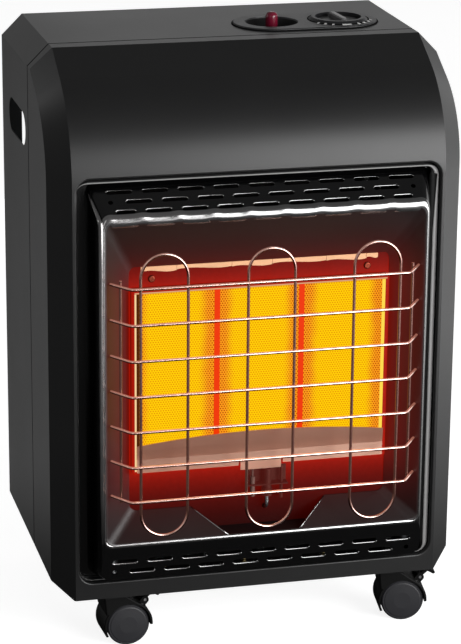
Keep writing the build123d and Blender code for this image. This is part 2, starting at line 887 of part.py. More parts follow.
# ---- deflector and pilot ---------------------------------------------------------------
def deflector():
    """Polished strip that stands off the burner's foot: creased, arched and slit for its tab."""
    low = deflector_low
    end_top = low + deflector_end_height
    middle_top = end_top + deflector_arch
    tab = deflector_tab_half_width
    with BuildSketch() as face:
        with BuildLine():
            Polyline((-deflector_half_width, end_top), (-deflector_half_width, low),
                     (-tab, low), (-tab, low - deflector_tab_drop),
                     (tab, low - deflector_tab_drop), (tab, low),
                     (deflector_half_width, low), (deflector_half_width, end_top))
            ThreePointArc((deflector_half_width, end_top), (0, middle_top),
                          (-deflector_half_width, end_top))
        make_face()
        for side in (-1, 1):
            with Locations((side * tab, low)):
                Rectangle(deflector_slit, 2 * deflector_slit_height, mode=Mode.SUBTRACT)
    front = burner_y - deflector_standoff
    crease_z = low + deflector_crease
    lean = deflector_lean
    with BuildSketch(Plane.YZ) as section:
        with BuildLine():
            Polyline((front, low - deflector_tab_drop - past), (front, crease_z),
                     (front - lean, middle_top + past),
                     (front - lean + deflector_sheet, middle_top + past),
                     (front + deflector_sheet, crease_z),
                     (front + deflector_sheet, low - deflector_tab_drop - past), close=True)
        make_face()
    body = extrude(section.sketch, half_width, both=True)
    body &= front_slab(face.sketch, front - lean - past, deflector_standoff)
    for side in (-1, 1):
        outer = side * deflector_half_width
        inner = side * (deflector_half_width - deflector_sheet)
        wing = block((min(outer, inner), front, low),
                     (max(outer, inner), burner_y - burner_lip_reach, crease_z))
        body += wing
    return body


def pilot_places():
    """The pilot tube, the flame probe and the spark electrode, left to right."""
    y = burner_y - pilot_setback
    return {"electrode": (pilot_x - probe_spacing, y), "pilot": (pilot_x, y),
            "probe": (pilot_x + probe_spacing, y)}


def pilot_bracket():
    """Angle on the burner plate; its shelf holds the pilot, the probe and the electrode."""
    low, high = deck_z + pilot_shelf, deck_z + pilot_shelf + pilot_bracket_height
    left = pilot_x - probe_spacing - pilot_bracket_margin
    right = pilot_x + probe_spacing + pilot_bracket_margin
    back = block((left, burner_y - sheet, low), (right, burner_y, high))
    shelf = block((left, burner_y - pilot_setback - pilot_shelf_lip, low),
                  (right, burner_y, low + sheet))
    body = back + shelf
    radii = {"electrode": electrode_radius, "pilot": pilot_tube_radius, "probe": probe_radius}
    for name, (x, y) in pilot_places().items():
        body -= rod((x, y, low - past), (x, y, high + past), radii[name])
    return body


def pilot_burner():
    """Pilot tube with a flared collar and a slot that aims its flame at the burner."""
    x, y = pilot_places()["pilot"]
    low, high = deck_z + pilot_low, deck_z + pilot_top
    body = rod((x, y, low + pilot_collar_gap), (x, y, high), pilot_tube_radius)
    body += rod((x, y, low), (x, y, low + pilot_collar), pilot_tube_radius + pilot_collar_rim)
    port = block((x - pilot_port_width / 2, y, high - pilot_port_low),
                 (x + pilot_port_width / 2, y + 2 * pilot_tube_radius, high - pilot_port_high))
    return body - port


def flame_probe():
    """Thermocouple tip beside the pilot."""
    x, y = pilot_places()["probe"]
    tip = rod((x, y, deck_z + pilot_low - probe_tail), (x, y, deck_z + pilot_top + probe_rise),
              probe_radius)
    return fillet(tip.edges().group_by(Axis.Z)[-1], probe_round)


def spark_electrode():
    """Ceramic sleeve with its wire tip turned towards the pilot."""
    x, y = pilot_places()["electrode"]
    top = deck_z + pilot_top
    sleeve_top = top - electrode_sleeve_drop
    wire_end = (x + electrode_wire_reach, y, top + electrode_wire_rise)
    sleeve = rod((x, y, deck_z + pilot_low), (x, y, sleeve_top), electrode_radius)
    wire = FilletPolyline((x, y, sleeve_top - past), (x, y, top + electrode_wire_rise), wire_end,
                          radius=2 * electrode_wire_radius)
    section = Plane(origin=wire @ 0, z_dir=wire % 0) * Circle(electrode_wire_radius)
    return sleeve + sweep(section, path=wire)


# ---- guard -----------------------------------------------------------------------------
def guard_end():
    """Where a guard wire meets the recess's side wall: x and y."""
    mouth = ridge_half_width - ridge_land
    x = mouth + (recess_half_width - mouth) * guard_wire_inset / recess_depth
    return x - wire_radius, ridge_y + guard_wire_inset


def guard_wires():
    """Horizontal wires, bent back at both ends to the pan's side walls."""
    end_x, end_y = guard_end()
    group = []
    for step in range(guard_wire_count):
        z = guard_low + step * guard_wire_pitch
        path = FilletPolyline((-end_x, end_y, z), (-guard_half_width, guard_y, z),
                              (guard_half_width, guard_y, z), (end_x, end_y, z),
                              radius=guard_bend_radius)
        section = Plane(origin=path @ 0, z_dir=path % 0) * Circle(wire_radius)
        group.append(sweep(section, path=path))
    return group


def guard_rods():
    """Upright rods welded inside the bent ends of the wires."""
    end_x, end_y = guard_end()
    along = Vector(end_x - guard_half_width, end_y - guard_y, 0).normalized()
    reach = (guard_rod_x - guard_half_width) / along.X
    y = guard_y + along.Y * reach + 2 * wire_radius * along.X
    x = guard_rod_x - 2 * wire_radius * along.Y
    low, high = guard_low - guard_rod_overhang, guard_high + guard_rod_overhang
    return [rod((side * x, y, low), (side * x, y, high), wire_radius) for side in (-1, 1)]


def guard_loops():
    """Three closed upright loops welded behind the horizontal wires."""
    y = guard_y + 2 * wire_radius
    bend = loop_width / 2
    low, high = loop_low + bend, loop_high - bend
    group = []
    for step in (-1, 0, 1):
        x = step * loop_pitch
        loop = rod((x - bend, y, low), (x - bend, y, high), wire_radius)
        loop += rod((x + bend, y, low), (x + bend, y, high), wire_radius)
        for z, turn in ((high, 1), (low, -1)):
            section = Plane((x + bend, y, z), z_dir=(0, 0, 1)) * Circle(wire_radius)
            axis = Axis((x, y, z), (0, -turn, 0))
            loop += revolve(section, axis, 180)
        group.append(loop)
    return group


# ---- controls --------------------------------------------------------------------------
def tapered_disc(x, low, high, low_radius, high_radius):
    """A round form whose radius changes from low to high, on a control's axis."""
    place = at(x, controls_y, low)
    return place * Cone(low_radius, high_radius, high - low,
                        align=(Align.CENTER, Align.CENTER, Align.MIN))


def disc(x, low, high, radius):
    """A round form on a control's axis."""
    return rod((x, controls_y, low), (x, controls_y, high), radius)


def control_bezel():
    """Moulded oval panel: a deep well for the button and a raised ring round the knob."""
    plate = extrude(at(0, 0, top_z) * racetrack(bezel_radius), bezel_height)
    plate = fillet(plate.edges().group_by(Axis.Z)[-1], bezel_round)
    skirt = at(0, 0, top_z - bezel_skirt) * extrude(
        racetrack(bezel_radius - bezel_skirt_inset), bezel_skirt)
    skirt -= at(0, 0, top_z - bezel_skirt) * extrude(
        racetrack(bezel_radius - bezel_skirt_inset - moulding), bezel_skirt)
    body = plate + skirt
    body += tapered_disc(button_x, well_floor_z - moulding, top_z,
                         well_floor_radius + moulding, well_radius + moulding)
    body += tapered_disc(knob_x, bezel_top_z, ring_top_z, ring_base_radius, ring_top_radius)
    body += disc(knob_x, knob_floor_z - moulding, top_z, knob_radius + knob_clearance + moulding)
    body -= tapered_disc(button_x, well_floor_z, bezel_top_z, well_floor_radius, well_radius)
    body -= disc(button_x, well_floor_z - 2 * moulding, bezel_top_z, button_radius + button_clearance)
    body -= disc(knob_x, knob_floor_z, ring_top_z + past, knob_radius + knob_clearance)
    body -= disc(knob_x, knob_floor_z - 2 * moulding, ring_top_z, spindle_radius + spindle_hole_gap)
    return body


def ignition_button():
    """Domed push button whose stem runs down into the igniter."""
    top = top_z + button_height
    body = disc(button_x, bracket_z - button_stem, top, button_radius)
    return fillet(body.edges().group_by(Axis.Z)[-1], button_round)


def piezo_igniter():
    """Igniter barrel under the bracket, bored for the button's stem."""
    body = disc(button_x, valve_top_z - igniter_length, valve_top_z, igniter_radius)
    body += disc(button_x, valve_top_z - igniter_collar, valve_top_z,
                 igniter_radius + igniter_collar_rim)
    bore_low = bracket_z - button_stem - button_travel - button_clearance
    return body - disc(button_x, bore_low, valve_top_z + past, button_radius + button_clearance)


def knob_low_z():
    """The knob's underside, clear of the recess floor by its push and a gap."""
    return knob_floor_z + knob_push_travel + knob_floor_gap


def control_knob():
    """Round knob with a grip bar across it."""
    low = knob_low_z()
    body = disc(knob_x, low, low + knob_disc, knob_radius)
    body = fillet(body.edges().group_by(Axis.Z)[-1], knob_round)
    bar = extrude(SlotOverall(grip_length, grip_width, 90 + grip_turn), knob_disc + grip_height)
    bar = chamfer(bar.edges().group_by(Axis.Z)[-1], grip_bevel)
    body += at(knob_x, controls_y, low) * bar
    return body - disc(knob_x, low - past, low + spindle_reach + shaft_clearance,
                       spindle_radius + shaft_clearance)


def spindle_low_z():
    """The spindle's lower end, inside the valve's plug."""
    return valve_top_z - spindle_depth


def valve_spindle():
    """Round spindle from the valve's plug up into the knob."""
    return disc(knob_x, spindle_low_z(), knob_low_z() + spindle_reach, spindle_radius)


def plug_low_z():
    """The plug's lower end: under the spindle's end by its push and a web."""
    return spindle_low_z() - knob_push_travel - plug_under


def valve_plug():
    """Brass plug that turns in the valve; the spindle slides in its bore."""
    high = valve_top_z - plug_top_gap
    body = disc(knob_x, plug_low_z(), high, plug_radius)
    bore_low = spindle_low_z() - knob_push_travel - knob_floor_gap
    return body - disc(knob_x, bore_low, high + past, spindle_radius + shaft_clearance)


def gas_valve():
    """Valve body under the bracket, with its inlet, outlet and pilot bosses."""
    half = valve_width / 2
    low = valve_top_z - valve_height
    body = block((knob_x - half, controls_y - half, low),
                 (knob_x + half, controls_y + half, valve_top_z))
    body = chamfer(body.edges().filter_by(Axis.Z), valve_bevel)
    body += disc(knob_x, outlet_z, low + past, gas_pipe_radius + outlet_boss_rim)
    body += rod((knob_x, controls_y + half - past, valve_side_z),
                (knob_x, controls_y + half + inlet_boss, valve_side_z), inlet_boss_radius)
    body += rod((pilot_pipe_x, controls_y - half - pilot_boss, valve_side_z),
                (pilot_pipe_x, controls_y - half + past, valve_side_z),
                pilot_pipe_radius + pilot_boss_rim)
    return body - disc(knob_x, plug_low_z() - shaft_clearance, valve_top_z + past,
                       plug_radius + shaft_clearance)


def gas_inlet():
    """Hose spigot with its union nut, pointing out of the open back."""
    start = controls_y + valve_width / 2 + inlet_boss
    shoulder = start + inlet_nut
    end = shoulder + inlet_length
    hexagon = RegularPolygon(inlet_nut_radius, inlet_nut_sides)
    nut = extrude(Plane((knob_x, start, valve_side_z), z_dir=(0, 1, 0)) * hexagon, inlet_nut)
    tube = rod((knob_x, shoulder, valve_side_z), (knob_x, end, valve_side_z), inlet_radius)
    bore = rod((knob_x, start + inlet_wall, valve_side_z), (knob_x, end + past, valve_side_z),
               inlet_radius - inlet_wall)
    return nut + tube - bore


def control_bracket():
    """Sheet cradle hung from the cabinet's top; it carries the valve and the igniter."""
    left = button_x - bezel_radius - bracket_margin
    right = knob_x + bezel_radius + bracket_margin
    front, back = controls_y - bracket_half_depth, controls_y + bracket_half_depth
    body = block((left, front, valve_top_z), (right, back, bracket_z))
    for a, b in ((left - bracket_sheet, left), (right, right + bracket_sheet)):
        body += block((a, front, valve_top_z), (b, back, top_z - sheet))
    for x, radius in ((button_x, button_radius + button_clearance), (knob_x, spindle_radius)):
        body -= disc(x, valve_top_z - past, bracket_z + past, radius + bracket_hole_gap)
    return body


# ---- inner shield and pipes ------------------------------------------------------------
def heat_shield():
    """Sheet wall behind the burner, flanged to the cabinet's sides, standing on the base."""
    side = half_width - sheet - shield_side_gap
    y = seam_y + shield_y
    foot_top = deck_z + foot_chamfer_rise
    limit = at(0, (foot_top + shield_top_z) / 2, 0) * Rectangle(
        casing_width, shield_top_z - foot_top)
    wall = cabinet_section(sheet + shield_side_gap) & limit
    foot = at(0, (base_floor_z + sheet + foot_top) / 2, 0) * Rectangle(
        2 * (half_width - foot_chamfer_run - shield_foot_gap), foot_top - base_floor_z - sheet)
    body = front_slab(wall + foot, y, shield_sheet)
    for a, b in ((-side, -side + shield_sheet), (side - shield_sheet, side)):
        body += block((a, y, foot_top + foot_chamfer_rise),
                      (b, y + shield_flange, shield_top_z - shield_flange_margin))
    rib_length = shield_top_z - deck_z - 2 * shield_rib_margin
    for step in (-1, 0, 1):
        place = at(step * shield_rib_pitch, (deck_z + shield_top_z) / 2, 0)
        rib = place * SlotOverall(rib_length, shield_rib_width, 90)
        hollow = place * SlotOverall(rib_length - 2 * shield_sheet,
                                     shield_rib_width - 2 * shield_sheet, 90)
        body += front_slab(rib, y - shield_rib_depth, shield_rib_depth)
        body -= front_slab(hollow, y - shield_rib_depth + shield_sheet, shield_rib_depth)
    return body


def pipe(points, radius, bend):
    """A bent pipe along a route of corners."""
    path = FilletPolyline(*points, radius=bend)
    section = Plane(origin=path @ 0, z_dir=path % 0) * Circle(radius)
    return sweep(section, path=path)


def gas_pipe():
    """Pipe from the valve, over the shield and down to the gas rail."""
    over = outlet_z - gas_pipe_bend - gas_pipe_straight
    rail = deck_z + manifold_z
    rail_end = window_pitch + manifold_overhang
    return pipe([(knob_x, controls_y, outlet_z), (knob_x, controls_y, over),
                 (knob_x, mixer_y, over), (knob_x, mixer_y, rail), (rail_end, mixer_y, rail)],
                gas_pipe_radius, gas_pipe_bend)


def pilot_pipe():
    """Thin pipe from the valve down to the pilot."""
    pilot_place_x, pilot_y = pilot_places()["pilot"]
    low = deck_z + pilot_pipe_z
    back = burner_y + pilot_pipe_setback
    return pipe([(pilot_place_x, pilot_y, deck_z + pilot_low), (pilot_place_x, pilot_y, low),
                 (pilot_place_x, back, low), (pilot_pipe_x, back, low),
                 (pilot_pipe_x, back, valve_side_z),
                 (pilot_pipe_x, controls_y - valve_width / 2 - pilot_boss, valve_side_z)],
                pilot_pipe_radius, pilot_pipe_bend)


def tilt_switch():
    """Tip-over switch standing on the base."""
    floor = base_floor_z + sheet
    top = floor + tilt_switch_height
    y = seam_y + tilt_switch_y
    case = block((-tilt_switch_length / 2, y - tilt_switch_depth / 2, floor),
                 (tilt_switch_length / 2, y + tilt_switch_depth / 2, top))
    case = fillet(case.edges().group_by(Axis.Z)[-1], tilt_switch_round)
    return case + rod((0, y, top - past), (0, y, top + tilt_cap_height), tilt_cap_radius)


# ---- casters ---------------------------------------------------------------------------
def caster_sockets():
    """Four flanged sockets in the base, each bored for a caster's stem."""
    group = []
    for x, y in caster_places().values():
        low = base_floor_z - socket_flange
        roof = deck_z + stem_length + stem_end_gap
        body = rod((x, y, base_floor_z), (x, y, roof + socket_roof), socket_radius)
        body += rod((x, y, low), (x, y, base_floor_z), socket_flange_radius)
        body -= rod((x, y, low - past), (x, y, roof), stem_radius + shaft_clearance)
        group.append(body)
    return group


def caster_stem():
    """Steel stem with its collar, about a caster's own stem axis on the floor."""
    collar_top = base_floor_z - socket_flange - stem_collar_gap
    body = rod((0, 0, wheel_radius * 2), (0, 0, deck_z + stem_length), stem_radius)
    body += rod((0, 0, hood_top_z), (0, 0, collar_top), stem_radius + stem_collar_rim)
    return chamfer(body.edges().group_by(Axis.Z)[-1], stem_bevel)


def lever_pivot():
    """The brake lever's pivot in a caster's own frame: x and z."""
    angle = math.radians(lever_pivot_angle)
    return (caster_trail + lever_pivot_reach * math.cos(angle),
            wheel_radius + lever_pivot_reach * math.sin(angle))


def upright(sketch, half_depth):
    """A sketch in the x-z plane thickened evenly to both sides."""
    plane = Plane((0, 0, 0), x_dir=(1, 0, 0), z_dir=(0, -1, 0))
    return extrude(plane * sketch, half_depth, both=True)


def caster_hood(braked):
    """Hood over both wheels: shroud, centre web with the axle boss, neck and brake ears."""
    outline = at(caster_trail, wheel_radius, 0) * Circle(hood_radius)
    outline += Polygon((-neck_half_width, hood_top_z),
                       (-neck_half_width + neck_taper, wheel_radius + neck_foot),
                       (caster_trail, wheel_radius),
                       (caster_trail + neck_shoulder[0], wheel_radius + neck_shoulder[1]),
                       (neck_half_width, hood_top_z), align=None)
    near, far = caster_trail - hood_radius, caster_trail + hood_radius
    lower = Polygon((near - past, 0), (far + past, 0), (far + past, hood_lip_far),
                    (near - past, hood_lip_near), align=None)
    lower += Rectangle(4 * hood_radius, 2 * hood_lip_near)
    body = upright(outline - lower, hood_width / 2)
    ends = [edge for edge in body.edges() if abs(abs(edge.center().Y) - hood_width / 2) < close]
    body = fillet(ends, hood_edge)
    pocket = at(caster_trail, wheel_radius, 0) * Circle(hood_radius - hood_wall)
    for low, high in ((-hood_width, -web_thickness / 2), (web_thickness / 2, hood_width)):
        body -= extrude(Plane((0, low, 0), x_dir=(1, 0, 0), z_dir=(0, -1, 0)) * pocket, low - high)
    boss = at(caster_trail, wheel_radius, 0) * Circle(axle_radius + axle_boss_rim)
    body += upright(boss, web_thickness / 2)
    if braked:
        x, z = lever_pivot()
        angle = math.radians(lever_pivot_angle)
        foot = (x - lever_ear_inset * math.cos(angle), z - lever_ear_inset * math.sin(angle))
        ear = SlotCenterPoint(((x + foot[0]) / 2, (z + foot[1]) / 2), (x, z), 2 * lever_ear_radius)
        for side in (-1, 1):
            near = side * (lever_width / 2 + lever_side_gap)
            far = near + side * lever_ear
            start = max(near, far)
            body += extrude(Plane((0, start, 0), x_dir=(1, 0, 0), z_dir=(0, -1, 0)) * ear, lever_ear)
        body -= upright(at(x, z, 0) * Circle(lever_pin_radius), hood_width)
    body -= upright(at(caster_trail, wheel_radius, 0) * Circle(axle_radius + shaft_clearance),
                    hood_width)
    body -= rod((0, 0, wheel_radius * 2), (0, 0, hood_top_z + past), stem_radius)
    return body


def brake_pin():
    """Pin through the hood's two ears."""
    x, z = lever_pivot()
    half = lever_width / 2 + lever_side_gap + lever_ear
    return upright(at(x, z, 0) * Circle(lever_pin_radius), half)


def brake_lever():
    """Foot lever: a hub on the pin and a bent tab that points up and outwards."""
    x, z = lever_pivot()
    knee = (x + lever_knee[0], z + lever_knee[1])
    tip = (x + lever_tip[0], z + lever_tip[1])
    outline = at(x, z, 0) * Circle(lever_hub_radius)
    for start, end in (((x, z), knee), (knee, tip)):
        middle = ((start[0] + end[0]) / 2, (start[1] + end[1]) / 2)
        outline += SlotCenterPoint(middle, end, lever_thickness)
    body = upright(outline, lever_width / 2)
    return body - upright(at(x, z, 0) * Circle(lever_pin_radius + shaft_clearance), lever_width)


def caster_wheels():
    """Two wheels pressed on one axle."""
    near = web_thickness / 2 + wheel_gap
    far = near + wheel_width
    edge = wheel_radius - wheel_round
    rim = wheel_radius - wheel_rim
    face = far - wheel_rim_step
    with BuildSketch(Plane.XY) as profile:
        with BuildLine():
            Polyline((axle_radius, near), (edge, near), (wheel_radius, near + wheel_round),
                     (wheel_radius, face - wheel_round), (edge, face), (rim, face),
                     (rim - wheel_rim_step, far - wheel_dish), (wheel_radius * wheel_hub_share, far),
                     (0, far), (0, face), (axle_radius, face), (axle_radius, near))
        make_face()
    wheel = revolve(profile.sketch, Axis.Y, 360)
    place = at(caster_trail, 0, wheel_radius)
    axle = rod((caster_trail, -face, wheel_radius), (caster_trail, face, wheel_radius), axle_radius)
    return [place * wheel, place * (Rot(0, 0, 180) * wheel), axle]


# ---- writing ---------------------------------------------------------------------------
def write(name, shape):
    """Write one piece, or a group of like pieces, to its own file."""
    if isinstance(shape, list):
        shape = Compound(children=[solid for piece in shape for solid in piece.solids()])
    export_step(shape, f"parts/{name}.step")


def main():
    """Write every piece of the heater."""
    os.makedirs("parts", exist_ok=True)
    pieces = {
        "front_casing": front_casing, "rear_casing": rear_casing, "base_pan": base_pan,
        "casing_screws": casing_screws, "reflector_pan": reflector_pan,
        "burner_frame": burner_frame, "burner_gasket": burner_gasket,
        "flange_screws": flange_screws, "gas_manifold": manifold, "injectors": injectors,
        "manifold_brackets": manifold_brackets, "deflector": deflector,
        "pilot_bracket": pilot_bracket, "pilot_burner": pilot_burner, "flame_probe": flame_probe,
        "spark_electrode": spark_electrode, "guard_wires": guard_wires, "guard_rods": guard_rods,
        "guard_loops": guard_loops, "control_bezel": control_bezel,
        "control_bracket": control_bracket, "ignition_button": ignition_button,
        "piezo_igniter": piezo_igniter, "control_knob": control_knob,
        "valve_spindle": valve_spindle, "valve_plug": valve_plug,
        "gas_valve": gas_valve, "gas_inlet": gas_inlet,
        "heat_shield": heat_shield, "gas_pipe": gas_pipe, "pilot_pipe": pilot_pipe,
        "tilt_switch": tilt_switch, "caster_sockets": caster_sockets,
    }
    for name, make in pieces.items():
        write(name, make())
    for name, x in zip(("left", "middle", "right"), window_x):
        write(f"plaque_{name}", plaque(x))
        write(f"plenum_{name}", plenum(x))
    stem, wheels = caster_stem(), caster_wheels()
    for name, (x, y) in caster_places().items():
        place = at(x, y, 0) * Rot(0, 0, caster_turns[name])
        braked = name.startswith("front")
        write(f"caster_hood_{name}", place * caster_hood(braked))
        write(f"caster_stem_{name}", place * stem)
        write(f"caster_wheels_{name}", [place * piece for piece in wheels])
        if braked:
            write(f"brake_lever_{name}", place * brake_lever())
            write(f"brake_pin_{name}", place * brake_pin())


if __name__ == "__main__":
    main()
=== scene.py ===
# %% [markdown]
# # Dressing a portable propane heater
# The heater's solids, bodies and joints come ready made from the frame, at their real size and in metres.
# This lesson gives each solid its finish, adds the small pieces that only the eye needs, and sets up a
# plain studio. Every cell makes one thing, and the cell before it says why it is made that way.

# %% Load the frame
import math

import bmesh
import bpy
from mathutils import Matrix, Vector


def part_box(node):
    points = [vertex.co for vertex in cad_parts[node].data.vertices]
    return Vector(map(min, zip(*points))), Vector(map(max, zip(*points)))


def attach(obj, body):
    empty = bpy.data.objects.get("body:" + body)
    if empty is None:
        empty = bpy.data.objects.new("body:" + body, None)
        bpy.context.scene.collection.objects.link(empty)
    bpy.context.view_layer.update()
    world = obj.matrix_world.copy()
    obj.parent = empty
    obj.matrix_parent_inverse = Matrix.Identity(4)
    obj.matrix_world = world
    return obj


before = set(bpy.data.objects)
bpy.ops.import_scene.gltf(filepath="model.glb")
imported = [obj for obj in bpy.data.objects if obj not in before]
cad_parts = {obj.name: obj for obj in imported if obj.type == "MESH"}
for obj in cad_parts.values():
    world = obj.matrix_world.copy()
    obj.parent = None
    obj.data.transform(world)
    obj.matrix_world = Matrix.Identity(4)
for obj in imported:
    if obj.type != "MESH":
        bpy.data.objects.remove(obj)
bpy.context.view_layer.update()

MM = 0.001

# %% [markdown]
# ## Camera
# A product picture is taken from a little above and to the left of the middle, with a long lens, so that
# the upright edges stay nearly parallel. A camera can be aimed with a Track To constraint or turned with a
# quaternion. Here its turn is three angles, as on a tripod's head, and its matrix is built from the
# directions that they give, because angles are easy to read and to change.

# %% Camera
camera_place = Vector((-643.1, -2556.0, 1145.3)) * MM
camera_yaw = math.radians(14.09)
camera_pitch = math.radians(17.69)
camera_roll = math.radians(0.52)
lens_mm = 149.17
sensor_mm = 36.0


def camera_matrix():
    """The camera's place and turn: yaw to its right, pitch down, then a slight roll."""
    level_share = math.cos(camera_pitch)
    forward = Vector((math.sin(camera_yaw) * level_share, math.cos(camera_yaw) * level_share,
                      -math.sin(camera_pitch)))
    level = Vector((math.cos(camera_yaw), -math.sin(camera_yaw), 0.0))
    upright = level.cross(forward)
    right = math.cos(camera_roll) * level + math.sin(camera_roll) * upright
    up = math.cos(camera_roll) * upright - math.sin(camera_roll) * level
    turn = Matrix((right, up, -forward)).transposed().to_4x4()
    return Matrix.Translation(camera_place) @ turn


camera = bpy.data.objects.new("studio_camera", bpy.data.cameras.new("studio_camera"))
camera.data.lens = lens_mm
camera.data.sensor_width = sensor_mm
camera.matrix_world = camera_matrix()
bpy.context.scene.collection.objects.link(camera)
bpy.context.scene.camera = camera
print("camera at", [round(value, 3) for value in camera_place])

# %% [markdown]
# ## Shader sums
# A pattern is arithmetic on coordinates. Dozens of Math nodes written one by one are long and hard to
# read, so one small class wraps a socket and lets Python's own + - * / make those nodes. A second class
# holds one material, and its `make` method makes every other kind of node.

# %% Wire: a socket that can be written in a sum


class Wire:
    """One output of a node. The operators and the methods below add nodes behind it."""

    def __init__(self, finish, socket):
        self.finish = finish
        self.socket = socket

    def maths(self, operation, *values):
        """What a Math node makes of the values."""
        return self.finish.make("ShaderNodeMath", {"operation": operation}, dict(enumerate(values)))

    def __add__(self, other):
        return self.maths("ADD", self, other)

    def __sub__(self, other):
        return self.maths("SUBTRACT", self, other)

    def __rsub__(self, other):
        return self.maths("SUBTRACT", other, self)

    def __mul__(self, other):
        return self.maths("MULTIPLY", self, other)

    def __truediv__(self, other):
        return self.maths("DIVIDE", self, other)

    def __pow__(self, other):
        return self.maths("POWER", self, other)

    def __mod__(self, other):
        return self.maths("FLOORED_MODULO", self, other)

    def __abs__(self):
        return self.maths("ABSOLUTE", self)

    __radd__, __rmul__ = __add__, __mul__

    def most(self, other):
        return self.maths("MAXIMUM", self, other)

    def floor(self):
        return self.maths("FLOOR", self)

    def exp(self):
        return self.maths("EXPONENT", self)

    def fade(self, start, end):
        """0 before start, 1 after end and a smooth climb between; start may be the larger."""
        ends = {"Value": self, "From Min": start, "From Max": end, "To Min": 0.0, "To Max": 1.0}
        return self.finish.make("ShaderNodeMapRange", {"interpolation_type": "SMOOTHSTEP"}, ends)

    def within(self, limit, blur):
        """1 below a limit and 0 above it, changing over `blur` to each side of it."""
        return self.fade(limit + blur, limit - blur)


# %% Finish: one material and its nodes


class Finish:
    """A material: the constants of its shader, and the nodes that vary it over the surface."""

    def __init__(self, name, **constants):
        self.material = bpy.data.materials.new(name)
        self.material.use_nodes = True
        tree = self.material.node_tree
        self.nodes, self.links = tree.nodes, tree.links
        self.shader = self.nodes["Principled BSDF"]
        for words, value in constants.items():
            self.feed(words, value)
        self.place = self.make("ShaderNodeTexCoord", {}, {}, "Object")
        self.facing = self.make("ShaderNodeTexCoord", {}, {}, "Normal")

    def make(self, kind, settings, inputs, output=0):
        """A node of a kind, its settings first, then its sockets; gives one output as a Wire."""
        node = self.nodes.new(kind)
        for name, value in settings.items():
            setattr(node, name, value)
        for key, value in inputs.items():
            self.join(node.inputs[key], value)
        return Wire(self, node.outputs[output])

    def join(self, socket, value):
        """Link a Wire to a socket, or set the socket's own value; a colour gets its alpha."""
        if isinstance(value, Wire):
            self.links.new(value.socket, socket)
        elif hasattr(socket.default_value, "__len__") and len(value) == 3 < len(socket.default_value):
            socket.default_value = (*value, 1.0)
        else:
            socket.default_value = value

    def feed(self, words, value):
        """Feed a socket of the main shader, named with underscores."""
        names = {name.lower().replace(" ", "_"): name for name in self.shader.inputs.keys()}
        self.join(self.shader.inputs[names[words]], value)

    def axis(self, letter):
        """One coordinate of the place on the piece, in metres."""
        return self.make("ShaderNodeSeparateXYZ", {}, {"Vector": self.place}, letter)

    def slope(self, letter):
        """One part of the surface's direction: 1 where it faces along that axis, -1 against it."""
        return self.make("ShaderNodeSeparateXYZ", {}, {"Vector": self.facing}, letter)

    def noise(self, size, detail=2.0):
        """Soft cloudy noise from 0 to 1 whose clouds are about `size` metres wide."""
        sockets = {"Vector": self.place, "Scale": 1 / size, "Detail": detail}
        return self.make("ShaderNodeTexNoise", {}, sockets)

    def cells(self, size, output="Distance"):
        """Cellular noise whose cells are about `size` metres wide."""
        return self.make("ShaderNodeTexVoronoi", {}, {"Vector": self.place, "Scale": 1 / size}, output)

    def tint(self, share, low, high):
        """Mix two colours by a share."""
        return self.make("ShaderNodeMix", {"data_type": "RGBA"}, {0: share, 6: low, 7: high}, 2)

    def relief(self, height, depth):
        """Bump the surface by a height from 0 to 1 that stands for `depth` metres."""
        bump = self.make("ShaderNodeBump", {}, {"Height": height, "Distance": depth, "Strength": 1.0})
        self.feed("normal", bump)


# %% [markdown]
# ## Casing paint
# The sheet casings are powder coated: black and satin, with an orange-peel skin about a millimetre across.
# The peel could be displaced geometry, but it is only a hundredth of a millimetre deep, so a fine bump
# shows all of it. A slow cloudiness in colour and gloss keeps the large panels from looking like plastic.

# %% Casing paint
paint_cloud, paint_peel, paint_peel_depth = 90 * MM, 1.1 * MM, 0.012 * MM


def casing_paint(name, shade):
    """Black powder coat of a given darkness."""
    paint = Finish(name, ior=1.42)
    cloud = paint.noise(paint_cloud, 3.0)
    peel = paint.noise(paint_peel, 1.0)
    paint.feed("roughness", 0.33 + cloud * 0.05 + peel * 0.04)
    paint.feed("base_color", paint.tint(cloud, (shade, shade, shade * 1.05), (shade * 1.3,) * 3))
    paint.relief(peel, paint_peel_depth)
    return paint.material


front_paint = casing_paint("front_paint", 0.005)
rear_paint = casing_paint("rear_paint", 0.008)
print("casing paints:", front_paint.name, rear_paint.name)

# %% [markdown]
# ## Heat
# The plaques glow, and what stands round them is lit red. Lamps inside the heater would do that too, but
# their light is noisy and spreads to places that stay dark on the real one. So the plaques' light is painted
# on the nearby pieces as a glow of their own. The plaques make one block of light, a little smaller than they
# are, because the burner plate laps their edges. One helper measures how far a place lies outside that block,
# and gives a painted glow that dies away with the distance.

# %% Glow
window_lap = 1.5 * MM
right_plaque_low, right_plaque_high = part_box("plaque_right")
plaques_half_width = right_plaque_high.x - window_lap
plaques_low = right_plaque_low.z + window_lap
plaques_high = right_plaque_high.z - window_lap
plaques_middle = (plaques_low + plaques_high) / 2
black = (0.0, 0.0, 0.0)


def glow(finish, reach, strength):
    """A painted glow that is `strength` at the plaques and about a third of that `reach` metres away."""
    beside = (abs(finish.axis("X")) - plaques_half_width).most(0.0)
    above = (abs(finish.axis("Z") - plaques_middle) - (plaques_high - plaques_middle)).most(0.0)
    distance = (beside * beside + above * above) ** 0.5
    return (distance * (-1.0 / reach)).exp() * strength


print("the glow starts", round(plaques_half_width, 4), "m from the middle")

# %% [markdown]
# ## Pan enamel
# The reflector pan is pressed sheet under a thick gloss enamel. On perfectly even sheet the highlights
# would be ruler-straight, so a long shallow bump lets them wander as the waves of the pressing do. Inside
# the ridge the pan is a cup: heat has dulled its enamel, and its walls catch the red light. The ridge's
# place is worked out from the pan's box, because the rim pieces below need it as well.

